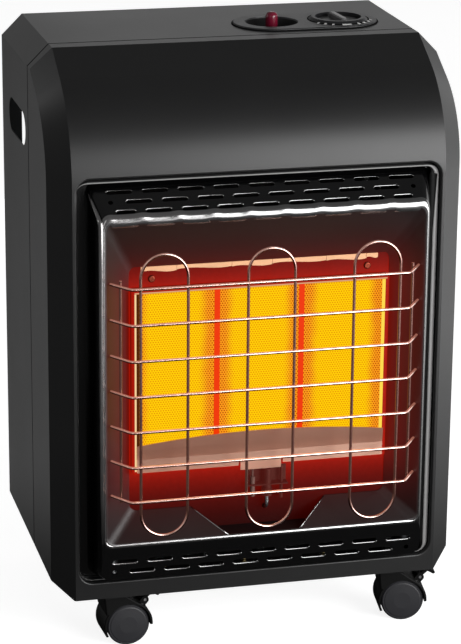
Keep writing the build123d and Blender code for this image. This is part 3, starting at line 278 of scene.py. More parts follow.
# %% Pan enamel
pan_low, pan_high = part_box("reflector_pan")
ridge_from_side, ridge_from_foot, ridge_from_top = 29.0 * MM, 56.0 * MM, 45.0 * MM
ridge_y = pan_low.y
ridge_half_width = pan_high.x - ridge_from_side
ridge_low = pan_low.z + ridge_from_foot
ridge_high = pan_high.z - ridge_from_top
cup_inset, cup_blur = 3.0 * MM, 1.0 * MM


def pan_enamel():
    """Black gloss enamel, duller and lit red inside the cup."""
    enamel = Finish("pan_enamel", base_color=(0.0008, 0.0008, 0.0009), ior=1.50, emission_strength=1.0)
    waves = enamel.noise(45 * MM, 1.0)
    peel = enamel.noise(2.5 * MM, 1.0)
    middle, reach = (ridge_low + ridge_high) / 2, (ridge_high - ridge_low) / 2 - cup_inset
    in_width = abs(enamel.axis("X")).within(ridge_half_width - cup_inset, cup_blur)
    in_cup = in_width * abs(enamel.axis("Z") - middle).within(reach, cup_blur)
    # Painted red light from the plaques on the cup's walls, fading with distance from them.
    painted_red_light = glow(enamel, 21 * MM, 0.20) * in_cup * enamel.slope("Y").fade(0.05, -0.15)
    enamel.feed("roughness", 0.14 + peel * 0.06 + in_cup * 0.26)
    enamel.feed("emission_color", enamel.tint(painted_red_light, black, (1.0, 0.030, 0.010)))
    enamel.relief(waves + peel * 0.03, 0.3 * MM)
    return enamel.material


print("ridge from", round(ridge_low, 4), "to", round(ridge_high, 4), "m")

# %% [markdown]
# ## Burner steel
# The plate that frames the plaques is bare steel, darkened by years of heat. It is so close to the plaques
# that their light is painted on it as a glow: on the two bars between them most of all, and on the walls of
# its windows that face the middle. Its edges at the left and above the outer plaques stand in the brightest
# light and get painted cream highlights. The plate is one solid, so one material has a mask for each of
# these; separate materials would need its mesh to be cut up.

# %% Burner steel
bar_middle = (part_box("plaque_middle")[1].x + right_plaque_low.x) / 2
bar_half_width = right_plaque_low.x + window_lap - bar_middle
bar_spill, bar_blur = 0.1 * MM, 0.3 * MM
left_lip_out, left_lip_half_width = 1.0 * MM, 0.9 * MM
top_lip_out, top_lip_half_width, top_lip_overrun = 0.9 * MM, 0.6 * MM, 1.8 * MM
lip_blur = 0.2 * MM


def painted_lip_highlights(x, z, at_window_height):
    """Where the plate's edges get painted cream highlights: a line left of the plaques and a fainter one
    above them.
    """
    left = abs(x + plaques_half_width + left_lip_out).within(left_lip_half_width, lip_blur)
    top = abs(z - plaques_high - top_lip_out).within(top_lip_half_width, lip_blur)
    top_run = (abs(x) - plaques_half_width).within(top_lip_overrun, lip_blur)
    return (left * at_window_height).most(top * top_run * 0.6)


def burner_steel():
    """Bare steel with a painted glow: dull red, yellow on the lit window walls, orange on the bars, cream
    highlights on the edges.
    """
    steel = Finish("burner_steel", base_color=(0.004, 0.001, 0.001), specular_ior_level=0.04,
                   emission_strength=1.0)
    grain = steel.noise(4 * MM, 4.0)
    x, z = steel.axis("X"), steel.axis("Z")
    front = steel.slope("Y").fade(0.05, -0.05)
    at_window_height = abs(z - plaques_middle).within(plaques_high - plaques_middle + bar_spill, bar_blur)
    # Painted light from the plaques: orange on the bars, yellow on the window walls that face them, a red
    # glow nearby.
    on_bar = abs(abs(x) - bar_middle).within(bar_half_width + bar_spill, bar_blur) * at_window_height
    faces_middle = (x * steel.slope("X")).fade(-20 * MM, -90 * MM) * at_window_height
    dim = glow(steel, 23 * MM, 0.44) * (0.85 + grain * 0.3) * front
    light = steel.tint(dim, black, (1.0, 0.022, 0.006))
    light = steel.tint(faces_middle, light, (0.98, 0.70, 0.08))
    light = steel.tint(on_bar, light, (0.87, 0.040, 0.001))
    light = steel.tint(painted_lip_highlights(x, z, at_window_height) * front, light, (0.92, 0.66, 0.34))
    steel.feed("emission_color", light)
    steel.feed("roughness", 0.36 + grain * 0.15)
    steel.relief(grain, 0.04 * MM)
    return steel.material


print("bars", round(2 * bar_half_width, 4), "m wide at", round(bar_middle, 4), "m from the middle")

# %% [markdown]
# ## Glowing plaques
# A plaque is a ceramic tile with thousands of fine holes in a honeycomb. The gas burns just inside the
# holes, so the tile is yellow with darker specks, and orange along its edges, where it loses heat to the
# frame. Real holes would be far too many faces, so they are worked out from the place on the tile: rows
# of cells, every other row moved by half a cell, make the honeycomb. At the far left a narrow strip of the
# block lies in the shadow of the plate's edge, so it is dark.

# %% Glowing plaques
hole_pitch = 2.6 * MM
hole_core, hole_rim = 0.5 * MM, 1.1 * MM
cool_edge_start, cool_edge_end, cool_edge_wander = 13 * MM, 1 * MM, 7 * MM
cool_foot_start, cool_foot_end, cool_foot_wander = 37.2 * MM, 7.2 * MM, 12 * MM
shadow_width, shadow_blur = 5.0 * MM, 0.4 * MM


def honeycomb(x, z):
    """How far a place lies from the middle of the nearest hole, in metres."""
    row_height = hole_pitch * math.sqrt(3) / 2
    row = (z / row_height).floor()
    across = (x / hole_pitch + (row % 2.0) * 0.5) % 1.0 - 0.5
    up = (z / row_height) % 1.0 - 0.5
    return ((across * across + up * up * 0.75) ** 0.5) * hole_pitch


def glowing_plaque(name):
    """Ceramic with burning holes, cooler along its sides and its foot."""
    low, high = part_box(name)
    half_width = (high.x - low.x) / 2 - window_lap
    plaque = Finish(name, base_color=(0.02, 0.004, 0.0), roughness=0.9, specular_ior_level=0.02,
                    emission_strength=1.0)
    x, z = plaque.axis("X"), plaque.axis("Z")
    wall = honeycomb(x, z).fade(hole_core, hole_rim)
    cloud = plaque.noise(18 * MM)
    from_middle = abs(x - (low.x + high.x) / 2) + cloud * cool_edge_wander
    edge = from_middle.fade(half_width - cool_edge_start, half_width - cool_edge_end)
    foot = (z + cloud * cool_foot_wander).fade(plaques_low + cool_foot_start, plaques_low + cool_foot_end)
    cool = edge.most(foot)
    warm = plaque.tint(cool, (1.0, 0.650, 0.002), (1.0, 0.360, 0.012))
    hole = plaque.tint(cool, (0.80, 0.290, 0.001), (0.46, 0.055, 0.002))
    shadow = (x + plaques_half_width).within(shadow_width, shadow_blur)
    plaque.feed("emission_color", plaque.tint(shadow, plaque.tint(wall, hole, warm), (0.05, 0.010, 0.001)))
    plaque.relief(wall, 0.4 * MM)
    return plaque.material


print("holes across a plaque:", round((right_plaque_high.x - right_plaque_low.x) / hole_pitch))

# %% [markdown]
# ## Plain metals
# Screws, brass, tube, cast alloy and plate differ in colour, in gloss and in the small marks of how they
# were made. One helper makes a metal whose gloss and surface share a fine grain, and a table gives each
# metal its own numbers. A flat metallic colour would look like chrome on all of them.

# %% Plain metals


def metal(name, gloss, grain_size, grain_depth, colour=None):
    """A bare metal with a fine grain; the caller feeds its colour where none is given."""
    bare = Finish(name, metallic=1.0)
    grain = bare.noise(grain_size, 3.0)
    bare.feed("roughness", gloss + grain * 0.08)
    bare.relief(grain, grain_depth)
    if colour:
        shade = tuple(value * 0.86 for value in colour)
        bare.feed("base_color", bare.tint(bare.noise(30 * MM), shade, colour))
    return bare


# Gloss, grain size, grain depth and colour.
plain_metals = {
    "zinc_screw": (0.28, 1.2 * MM, 0.01 * MM, (0.60, 0.60, 0.61)),
    "turned_brass": (0.24, 0.8 * MM, 0.01 * MM, (0.80, 0.60, 0.26)),
    "bright_tube": (0.22, 2.0 * MM, 0.01 * MM, (0.70, 0.71, 0.72)),
    "cast_alloy": (0.45, 0.8 * MM, 0.05 * MM, (0.56, 0.57, 0.58)),
    "turned_steel": (0.26, 1.0 * MM, 0.01 * MM, (0.60, 0.60, 0.61)),
    "plenum_steel": (0.50, 2.0 * MM, 0.02 * MM, (0.030, 0.026, 0.025)),
    "hot_screw": (0.40, 1.0 * MM, 0.03 * MM, (0.20, 0.040, 0.022)),
}
metals = {name: metal(name, *look).material for name, look in plain_metals.items()}
print("plain metals:", len(metals))

# %% [markdown]
# ## Metals near the heat
# The guard's wires are chrome that the heat has browned. Their colour follows the way they face: a painted
# highlight where they face up, and painted shade on their sides. The strip below the plaques is polished and
# their pink is painted into its colour as a reflection, and the pilot's steel is dark with soot. A colour
# that follows the way the surface faces needs no image, and it fits every wire. All three carry a little
# painted glow, for the same reason as the pan and the plate do.

# %% Metals near the heat


def chrome_wire():
    """Chrome wire: a painted highlight where it faces up, browned and painted dark elsewhere."""
    wire = metal("chrome_wire", 0.16, 3 * MM, 0.008 * MM)
    # up: a painted highlight where the wire faces up; the sides keep the browned colour as painted shade. The
    # painted glow lies on the highlight only.
    up = wire.slope("Z").fade(-0.15, 0.55) * (0.8 + wire.noise(8 * MM) * 0.4)
    wire.feed("base_color", wire.tint(up, (0.10, 0.028, 0.022), (0.76, 0.56, 0.50)))
    wire.feed("emission_strength", 1.0)
    wire.feed("emission_color", wire.tint(up * glow(wire, 50 * MM, 0.60), black, (0.75, 0.30, 0.21)))
    return wire.material


def polished_strip():
    """The strip in front of the burner's foot, with the plaques' pink painted into its colour as a
    reflection, and a painted glow.
    """
    # Its pink colour is a painted reflection of the plaques; the emission below is their painted glow.
    strip = metal("polished_strip", 0.26, 1.6 * MM, 0.01 * MM, (0.80, 0.50, 0.38))
    strip.feed("emission_strength", 1.0)
    strip.feed("emission_color", strip.tint(glow(strip, 30 * MM, 0.10), black, (1.0, 0.30, 0.16)))
    return strip.material


def sooty_steel():
    """The pilot's steel: sooty, with a painted dull red glow from the plate behind it."""
    soot = metal("sooty_steel", 0.55, 1.0 * MM, 0.04 * MM, (0.050, 0.022, 0.018))
    soot.feed("emission_strength", 1.0)
    soot.feed("emission_color", soot.tint(soot.noise(4 * MM), (0.045, 0.004, 0.003), (0.075, 0.008, 0.006)))
    return soot.material


metals.update(chrome_wire=chrome_wire(), polished_strip=polished_strip(), sooty_steel=sooty_steel())
print("metals so far:", len(metals))

# %% [markdown]
# ## Zinc-coated sheet
# Sheet that was dipped in zinc shows broad crystals, each with its own shade and gloss. A Voronoi texture
# has a random colour in each cell, and one channel of it serves as the crystal's shade. The heat shield is
# coated more evenly; its side towards the burner gets no light, so it is painted near black as shade, and its
# colour follows the way it faces.

# %% Zinc-coated sheet
zinc_dull, zinc_bright = (0.40, 0.41, 0.42), (0.58, 0.59, 0.60)


def zinc_sheet():
    """Zinc-coated sheet with its crystals."""
    sheet = Finish("zinc_sheet", metallic=1.0)
    crystal = sheet.make("ShaderNodeSeparateColor", {}, {"Color": sheet.cells(14 * MM, "Color")}, "Red")
    sheet.feed("base_color", sheet.tint(crystal, zinc_dull, zinc_bright))
    sheet.feed("roughness", 0.30 + crystal * 0.16)
    sheet.relief(sheet.noise(2 * MM, 3.0), 0.01 * MM)
    return sheet.material


def shield_zinc():
    """The shield behind the burner: clean zinc towards the back, painted near-black shade on its side towards
    the burner.
    """
    shield = metal("shield_zinc", 0.34, 2 * MM, 0.01 * MM)
    zinc = shield.tint(shield.noise(50 * MM, 3.0), zinc_dull, zinc_bright)
    # Painted shade: the side that faces the burner gets no light and is painted near black.
    painted_shade_side = shield.slope("Y").fade(0.1, -0.1)
    shield.feed("base_color", shield.tint(painted_shade_side, zinc, (0.020, 0.018, 0.018)))
    return shield.material


metals.update(zinc_sheet=zinc_sheet(), shield_zinc=shield_zinc())
print("metals:", len(metals))

# %% [markdown]
# ## Mouldings
# The control panel, the knob, the casters and the button are injection moulded. A moulding takes the
# texture of its die, so each one has a fine leathery grain, deeper on the matt parts and almost none on the
# glossy button. The fibre gasket and the electrode's sleeve are pressed in a die too, so they use the same
# helper. Light hardly reaches the panel's well and the knob's flank, so below a height they turn near black
# and matt; the shape of the well alone would still mirror the bright studio.

# %% Mouldings
well_blur = 1.5 * MM
well_black = (0.0015, 0.0015, 0.0015)
bezel_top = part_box("control_bezel")[1].z
knob_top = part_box("control_knob")[1].z
panel_lit_depth, knob_lit_depth = 3.5 * MM, 5.0 * MM


def moulding(name, colour, gloss, grain_size, grain_depth, sheen=0.5, black_below=None):
    """A moulded plastic with the grain of its die, near black below a height if one is given."""
    plastic = Finish(name, specular_ior_level=sheen)
    grain = plastic.cells(grain_size)
    cloud = plastic.noise(20 * MM)
    light = tuple(min(1.0, value * 1.18) for value in colour)
    shade = plastic.tint(cloud, colour, light)
    rough = gloss + cloud * 0.06 + grain * 0.08
    if black_below is not None:
        depth = plastic.axis("Z").fade(black_below, black_below - well_blur)
        shade = plastic.tint(depth, shade, well_black)
        rough = rough + depth * 0.6
    plastic.feed("base_color", shade)
    plastic.feed("roughness", rough)
    plastic.relief(grain, grain_depth)
    return plastic.material


# Colour, gloss, grain size, grain depth, then the sheen and the height below which it is black.
moulded = {
    "button_red": ((0.11, 0.004, 0.016), 0.14, 1.0 * MM, 0.003 * MM),
    "caster_black": ((0.002, 0.002, 0.002), 0.50, 0.7 * MM, 0.03 * MM, 0.10),
    "wheel_grey": ((0.010, 0.010, 0.012), 0.45, 0.7 * MM, 0.03 * MM, 0.35),
    "sooted_sleeve": ((0.10, 0.045, 0.035), 0.35, 1.0 * MM, 0.003 * MM),
    "fibre_gasket": ((0.60, 0.33, 0.18), 0.85, 1.2 * MM, 0.2 * MM),
    "panel_black": ((0.007, 0.007, 0.008), 0.34, 0.6 * MM, 0.03 * MM, 0.5, bezel_top - panel_lit_depth),
    "knob_black": ((0.10, 0.10, 0.101), 0.22, 0.6 * MM, 0.02 * MM, 0.5, knob_top - knob_lit_depth),
}
mouldings = {name: moulding(name, *look) for name, look in moulded.items()}
print("mouldings:", len(mouldings), "knob above the panel:", round(knob_top - bezel_top, 4))

# %% [markdown]
# ## Dress the solids
# Each solid keeps its mesh and takes a finish in its material slots. A list of finish and pieces keeps
# that plain, and a check at its end says if a piece was forgotten.

# %% Dress the solids
corners = ("front_left", "front_right", "rear_left", "rear_right")
dressed = set()


def dress(material, *names):
    """Give a finish to solids by name."""
    for name in names:
        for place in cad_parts[name].material_slots:
            place.material = material
        dressed.add(name)


def at_corners(kind):
    """The names of one kind of piece at the four casters."""
    return [kind + "_" + corner for corner in corners]


dress(front_paint, "front_casing")
dress(rear_paint, "rear_casing")
dress(pan_enamel(), "reflector_pan")
dress(burner_steel(), "burner_frame")
for plaque_name in ("plaque_left", "plaque_middle", "plaque_right"):
    dress(glowing_plaque(plaque_name), plaque_name)
dress(metals["polished_strip"], "deflector")
dress(metals["chrome_wire"], "guard_wires", "guard_rods", "guard_loops")
dress(metals["shield_zinc"], "heat_shield")
dress(metals["plenum_steel"], "plenum_left", "plenum_middle", "plenum_right")
dress(metals["zinc_sheet"], "base_pan", "control_bracket", "manifold_brackets", "caster_sockets")
dress(metals["zinc_screw"], "casing_screws")
dress(metals["hot_screw"], "flange_screws")
dress(metals["sooty_steel"], "pilot_bracket", "pilot_burner", "flame_probe")
dress(metals["turned_brass"], "injectors", "gas_inlet", "valve_plug")
dress(metals["bright_tube"], "gas_manifold", "gas_pipe", "pilot_pipe")
dress(metals["cast_alloy"], "gas_valve")
dress(metals["turned_steel"], "valve_spindle", "brake_pin_front_left", "brake_pin_front_right")
dress(metals["turned_steel"], *at_corners("caster_stem"))
dress(mouldings["fibre_gasket"], "burner_gasket")
dress(mouldings["sooted_sleeve"], "spark_electrode")
dress(mouldings["panel_black"], "control_bezel", "piezo_igniter", "tilt_switch")
dress(mouldings["knob_black"], "control_knob")
dress(mouldings["button_red"], "ignition_button")
dress(mouldings["caster_black"], "brake_lever_front_left", "brake_lever_front_right")
dress(mouldings["caster_black"], *at_corners("caster_hood"))
dress(mouldings["wheel_grey"], *at_corners("caster_wheels"))
print("not dressed:", sorted(set(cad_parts) - dressed))

# %% [markdown]
# ## Pieces that only the eye needs
# Some forms are too thin for the solids: turned rims, a rolled bead, a seal. All of them are long skins with
# one section, or a section that changes slowly. A curve with a bevel makes a tube, but its section can't
# change shape on the way. So each skin is drawn as outlines across its path, which bmesh bridges, and a
# round tube starts from circles. Another helper turns the result into an object that rides on the cabinet.

# %% Outlines, tubes and pieces


def outline(mesh, points, closed):
    """Join points with edges, and give the edges."""
    verts = [mesh.verts.new(point) for point in points]
    ends = verts[1:] + verts[:1] if closed else verts[1:]
    return [mesh.edges.new(pair) for pair in zip(verts, ends)]


def bridge(mesh, outlines, closed_path=False, capped=False):
    """Bridge each outline to the next into a skin, and fill its two ends if it is capped."""
    following = outlines[1:] + outlines[:1] if closed_path else outlines[1:]
    for near, far in zip(outlines, following):
        bmesh.ops.bridge_loops(mesh, edges=near + far)
    if capped:
        bmesh.ops.edgeloop_fill(mesh, edges=outlines[0])
        bmesh.ops.edgeloop_fill(mesh, edges=outlines[-1])


def tube(mesh, path, radius, outward, closed=False):
    """A tube of eight sides along a path; `outward` is any direction that crosses the path."""
    circles = []
    for index, point in enumerate(path):
        before = path[index - 1] if closed or index else point
        after = path[(index + 1) % len(path)] if closed or index + 1 < len(path) else point
        along = (after - before).normalized()
        beside = along.cross(outward).normalized()
        turn = Matrix((beside, along.cross(beside), along)).transposed().to_4x4()
        placed = Matrix.Translation(point) @ turn
        verts = bmesh.ops.create_circle(mesh, segments=8, radius=radius, matrix=placed)["verts"]
        circles.append(list(dict.fromkeys(edge for vert in verts for edge in vert.link_edges)))
    bridge(mesh, circles, closed_path=closed, capped=not closed)


def piece(name, mesh, material):
    """A smooth object made of a bmesh, which is freed, riding on the cabinet."""
    bmesh.ops.recalc_face_normals(mesh, faces=mesh.faces)
    for face in mesh.faces:
        face.smooth = True
    data = bpy.data.meshes.new(name)
    mesh.to_mesh(data)
    mesh.free()
    data.materials.append(material)
    thing = bpy.data.objects.new(name, data)
    bpy.context.scene.collection.objects.link(thing)
    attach(thing, "cabinet")
    print(name, "faces:", len(data.polygons))


# %% [markdown]
# ## Glaze on the rims
# Enamel gathers on a turned edge and shines there like dark metal. A black paint with a high gloss would
# mirror too little light to show as a line, so the rims' glaze is metallic. It gets a little paler towards
# the left, a painted sheen that makes its highlights brighter on that side.

# %% Rim glaze
glaze_dark_x, glaze_pale_x = 20 * MM, -160 * MM


def rim_glaze_finish():
    """Dark mirror-like glaze, with a painted paler sheen at the left."""
    glaze = Finish("rim_glaze", metallic=1.0)
    # Painted sheen: the glaze is paler towards the left, which brightens its highlights there.
    painted_left_sheen = glaze.axis("X").fade(glaze_dark_x, glaze_pale_x)
    glaze.feed("base_color", glaze.tint(painted_left_sheen, (0.24, 0.24, 0.24), (0.34, 0.33, 0.33)))
    glaze.feed("roughness", 0.14 + glaze.noise(4 * MM) * 0.10)
    return glaze.material


rim_glaze = rim_glaze_finish()
print("rims' finish:", rim_glaze.name)

# %% [markdown]
# ## Slot rims
# Every slot is pressed out of the sheet, and the edge of it that lies away from the ridge is turned up
# enough to catch the light. A bevel on the solid would need its mesh to be changed, so each turned edge is
# a thin tube that lies half sunk in the sheet. Each panel of the pan is a slope that starts at the ridge: a
# place on it is a distance across and a height up the slope, and one small class turns those into a point.

# %% Slot rims
slot_length, slot_height, slot_pitch, row_pitch = 25.5 * MM, 4.6 * MM, 35.6 * MM, 11.8 * MM
rim_offset, rim_sunk = 0.25 * MM, 0.35 * MM
first_upper_row, first_lower_row = 10.8 * MM, 16.0 * MM
upper_radii = (0.85 * MM, 0.6 * MM, 0.4 * MM)
lower_radii = (0.9 * MM, 0.9 * MM)
outer_slots_shorter = 6.0 * MM


class Slope:
    """A sloping panel of the pan: it rises by `rise` from the ridge while it goes back by `run`."""

    def __init__(self, ridge_z, rise, run):
        self.start = Vector((0.0, ridge_y, ridge_z))
        self.up = Vector((0.0, run, rise)).normalized()
        self.out = Vector((1.0, 0.0, 0.0)).cross(self.up) * (1 if rise > 0 else -1)

    def point(self, across, height):
        """A point as deep in the sheet as a rim's middle."""
        return self.start + Vector((across, 0.0, 0.0)) + self.up * height - self.out * rim_sunk


upper_slope = Slope(ridge_high, 30.0, 37.5)
lower_slope = Slope(ridge_low, -36.0, 7.0)


def turned_edge(slope, middle, height, length):
    """The long edge of a slot that lies away from the ridge, with a part of both round ends."""
    half = slot_height / 2 + rim_offset
    turns = [math.radians(20 + 70 * step / 6) for step in range(7)]
    points = []
    for end in (-1, 1):
        centre = middle + end * (length / 2 - half)
        for turn in turns if end < 0 else reversed(turns):
            across = centre + end * half * math.cos(turn)
            points.append(slope.point(across, height + half * math.sin(turn)))
    return points


def rim_row(mesh, slope, height, radius, count, shorter):
    """One row of turned edges; its two outer slots can be shorter on their outer side."""
    for step in range(count):
        middle = (step - (count - 1) / 2) * slot_pitch
        cut = shorter if step in (0, count - 1) else 0.0
        middle -= math.copysign(cut / 2, middle)
        path = turned_edge(slope, middle, height, slot_length - cut + 2 * rim_offset)
        tube(mesh, path, radius, slope.out)


def slot_rims():
    """Three rows on the upper panel and two on the lower one; each second row is staggered."""
    mesh = bmesh.new()
    panels = ((upper_slope, first_upper_row, upper_radii, outer_slots_shorter),
              (lower_slope, first_lower_row, lower_radii, 0.0))
    for slope, first_row, radii, shorter in panels:
        for row, radius in enumerate(radii):
            count = 8 if row == 1 else 9
            rim_row(mesh, slope, first_row + row * row_pitch, radius, count, shorter if row == 0 else 0.0)
    piece("slot_rims", mesh, rim_glaze)


slot_rims()

# %% [markdown]
# ## Ridge bead
# The ridge is rolled: broadly over the top, more tightly at the sides and the foot. A bevel would give it
# one radius all round. Here its section is an arc whose radius and two end angles are given for each side,
# and the direction that points out of the opening blends them at the corners. Between the slots the top
# roll swells a little, as sheet does between pressings.

# %% Stations round an opening
corner_steps = 8


def round_stations(half_width, low, high, radius):
    """Places round an upright opening's four round corners, each with the direction out of the opening."""
    stations = []
    for side_x, side_z, start in ((1, 1, 0), (-1, 1, 90), (-1, -1, 180), (1, -1, 270)):
        middle_z = high - radius if side_z > 0 else low + radius
        middle = Vector((side_x * (half_width - radius), 0.0, middle_z))
        for step in range(corner_steps + 1):
            turn = math.radians(start + 90 * step / corner_steps)
            away = Vector((math.cos(turn), 0.0, math.sin(turn)))
            stations.append((middle + away * radius, away))
    return stations


def side_mix(away, values):
    """Blend the values of the four sides by the direction that points out of the opening."""
    parts = {"top": max(away.z, 0.0), "foot": min(away.z, 0.0),
             "left": min(away.x, 0.0), "right": max(away.x, 0.0)}
    return sum(values[side] * part ** 2 for side, part in parts.items())


# %% Ridge bead
bead_inset, bead_proud, bead_swell, bead_corner = 2.0 * MM, 0.25 * MM, 1.0 * MM, 8.0 * MM
bead_radius = {"top": 9.0 * MM, "foot": 3.6 * MM, "left": 1.2 * MM, "right": 1.5 * MM}
bead_outer_degrees = {"top": 57, "foot": 22, "left": 82, "right": 82}
bead_inner_degrees = {"top": 34, "foot": 55, "left": 50, "right": 50}
bead_top_steps, bead_arc_steps = 180, 12


def bead_stations():
    """Stations round the ridge, close together along the top, where the roll swells."""
    stations = round_stations(ridge_half_width - bead_inset, ridge_low + bead_inset,
                              ridge_high - bead_inset, bead_corner)
    right_end, left_end = stations[corner_steps][0], stations[corner_steps + 1][0]
    top = [(right_end.lerp(left_end, step / bead_top_steps), Vector((0.0, 0.0, 1.0)))
           for step in range(1, bead_top_steps)]
    return stations[:corner_steps + 1] + top + stations[corner_steps + 1:]


def bead_section(place, away):
    """The arc of the bead's section at one station."""
    front = Vector((0.0, -1.0, 0.0))
    radius = side_mix(away, bead_radius)
    outer, inner = side_mix(away, bead_outer_degrees), side_mix(away, bead_inner_degrees)
    over_slot = 0.5 - 0.5 * math.cos(2 * math.pi * (place.x / slot_pitch + 0.5))
    lift = max(away.z, 0.0) ** 2 * (1.0 - over_slot) ** 3 * bead_swell
    centre = place + Vector((0.0, ridge_y - bead_proud, 0.0)) - front * radius + away * lift
    turns = [math.radians(-inner + (outer + inner) * step / bead_arc_steps)
             for step in range(bead_arc_steps + 1)]
    return [centre + radius * (math.cos(turn) * front + math.sin(turn) * away) for turn in turns]


def ridge_bead():
    """The rolled ridge as one skin."""
    mesh = bmesh.new()
    sections = [outline(mesh, bead_section(place, away), False) for place, away in bead_stations()]
    bridge(mesh, sections, closed_path=True)
    piece("ridge_bead", mesh, rim_glaze)


ridge_bead()

# %% [markdown]
# ## Left edge
# Down the left of the pan the ridge is planished flat, and so is the hip above it. The flat faces the
# light at the left, so it shines along its length. A wider bead would shine in two lines, so this is a
# strip of its own: a low roof in section, which narrows towards the end of the hip.

# %% Left edge
edge_width, edge_turn = 4.2 * MM, math.radians(24.5)
edge_crest, edge_back = 0.15 * MM, 1.6 * MM
edge_corner = Vector((-ridge_half_width - 0.5 * MM, ridge_y + 0.6 * MM, ridge_high - 1.0 * MM))
edge_hip_end = edge_corner + Vector((-7.0, 27.0, 22.5)) * MM
edge_foot_up, edge_bend_down = 6.0 * MM, 5.0 * MM


def edge_stations():
    """Places from the foot to the end of the hip, each with its share of the full width."""
    foot = Vector((edge_corner.x, edge_corner.y, ridge_low + edge_foot_up))
    bend = edge_corner - Vector((0.0, 0.0, edge_bend_down))
    upright = [(foot, 0.5)] + [(foot.lerp(bend, step / 8), 1.0) for step in range(1, 9)]
    hip = [(edge_corner.lerp(edge_hip_end, way), share)
           for way, share in ((0.04, 1.0), (0.14, 0.95), (0.6, 0.8), (1.0, 0.4))]
    return upright + hip


def left_edge():
    """The flat of the left ridge and of the hip above it."""
    front = Vector((-math.sin(edge_turn), -math.cos(edge_turn), 0.0))
    across = Vector((math.cos(edge_turn), -math.sin(edge_turn), 0.0)) * edge_width / 2
    mesh = bmesh.new()
    sections = [(place - across * share, place + front * edge_crest, place + across * share,
                 place - front * edge_back) for place, share in edge_stations()]
    bridge(mesh, [outline(mesh, section, True) for section in sections], capped=True)
    piece("left_edge", mesh, rim_glaze)


left_edge()

# %% [markdown]
# ## Opening trim
# Between the casing's turned-in edge and the pan lies a thin grey ring on a black one. The grey ring is a
# painted highlight for the light on the turned-in edge: it faces a little outwards and is widest at the
# right, so it shows as a pale strip down that side and as a line over the top. The black ring is painted
# shade in the gap. A line painted on the casing would stay flat; a thin ring with real depth leaves a dark
# gap at each of its sides. The casing's opening is worked out from the casing's box.

# %% Opening trim
casing_low, casing_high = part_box("front_casing")
opening_from_side, opening_from_foot, opening_from_top = 26.0 * MM, 18.0 * MM, 110.0 * MM
opening_half_width = casing_high.x - opening_from_side
opening_low = casing_low.z + opening_from_foot
opening_high = casing_high.z - opening_from_top
trim_corner, trim_tilt = 13.4 * MM, math.radians(18)
trim_thickness, trim_bulge = 0.8 * MM, 0.2 * MM
trim_start_below = 60.0 * MM
# The grey strip is a painted highlight for the casing's turned-in edge; the black ring behind it is painted
# shade in the gap.
lit_strip_depth, lit_strip_corner_share = 5.5 * MM, 0.35
lit_strip_gaps = {"top": 3.6 * MM, "foot": 1.0 * MM, "left": 0.6 * MM, "right": 0.8 * MM}
lit_strip_widths = {"top": 1.3 * MM, "foot": 0.4 * MM, "left": 0.2 * MM, "right": 5.6 * MM}
trim_shade_depth = 6.8 * MM
trim_shade_gaps = {"top": 0.4 * MM, "foot": 0.4 * MM, "left": 0.4 * MM, "right": 0.4 * MM}
trim_shade_widths = {"top": 5.2 * MM, "foot": 0.8 * MM, "left": 0.8 * MM, "right": 11.5 * MM}


def trim_section(place, away, gap, width, depth):
    """A thin section that leans outwards: its face bulges a little, and its back is flat."""
    back = Vector((0.0, trim_thickness, 0.0))
    bulge = Vector((0.0, -trim_bulge, 0.0))
    outer = place - away * gap + Vector((0.0, casing_low.y + depth, 0.0))
    inner = outer - away * width * math.cos(trim_tilt) - Vector((0.0, width * math.sin(trim_tilt), 0.0))
    return [outer, (outer + inner) / 2 + bulge, inner, inner + back, outer + back]


def opening_ring(name, material, gaps, widths, depth, corner_share=1.0):
    """A thin ring inside the opening, `depth` behind the casing's face, narrowed at its upper right."""
    corner_stations = round_stations(opening_half_width, opening_low, opening_high, trim_corner)
    place, away = corner_stations[0]
    stations = [(place - Vector((0.0, 0.0, trim_start_below)), away, 1.0), (place, away, corner_share)]
    stations += [(place, away, 1.0) for place, away in corner_stations[1:]]
    mesh = bmesh.new()
    sections = [trim_section(place, away, side_mix(away, gaps), side_mix(away, widths) * share, depth)
                for place, away, share in stations]
    bridge(mesh, [outline(mesh, section, True) for section in sections], closed_path=True)
    piece(name, mesh, material)


def opening_trim():
    """The grey ring of painted highlight and the black ring of painted shade behind it."""
    lit_strip = Finish("trim_lit_strip")
    lit_strip.feed("roughness", 0.42 + lit_strip.noise(10 * MM) * 0.08)
    lit_strip.feed("base_color", lit_strip.tint(lit_strip.noise(50 * MM), (0.15, 0.147, 0.147), (0.19, 0.187, 0.185)))
    trim_shade_sheet = Finish("trim_shade", specular_ior_level=0.1, base_color=(0.001, 0.001, 0.001))
    trim_shade_sheet.feed("roughness", 0.5 + trim_shade_sheet.noise(3 * MM) * 0.2)
    opening_ring("trim_lit_strip", lit_strip.material, lit_strip_gaps, lit_strip_widths, lit_strip_depth, lit_strip_corner_share)
    opening_ring("trim_shade", trim_shade_sheet.material, trim_shade_gaps, trim_shade_widths, trim_shade_depth)


opening_trim()

# %% [markdown]
# ## Pad edges
# Two wedge pads flank the pilot's bay, and their pressed edges catch the light like the ridge does. Each
# edge is one straight tube, laid half into the sheet from the ridge to the pad's upper corner.

# %% Pad edges
pad_edge_radius = 0.9 * MM
pad_edge_start = Vector((37.0 * MM, ridge_y + 1.0 * MM, ridge_low + 4.6 * MM))
pad_edge_end = Vector((69.5 * MM, ridge_y + 27.0 * MM, ridge_low + 27.2 * MM))


def pad_edges():
    """The inner edge of each pad."""
    mesh = bmesh.new()
    for side in (-1, 1):
        mirror = Matrix.Diagonal((side, 1.0, 1.0))
        path = [mirror @ pad_edge_start.lerp(pad_edge_end, step / 6) for step in range(7)]
        tube(mesh, path, pad_edge_radius, Vector((0.0, -1.0, 1.0)))
    piece("pad_edges", mesh, rim_glaze)


pad_edges()

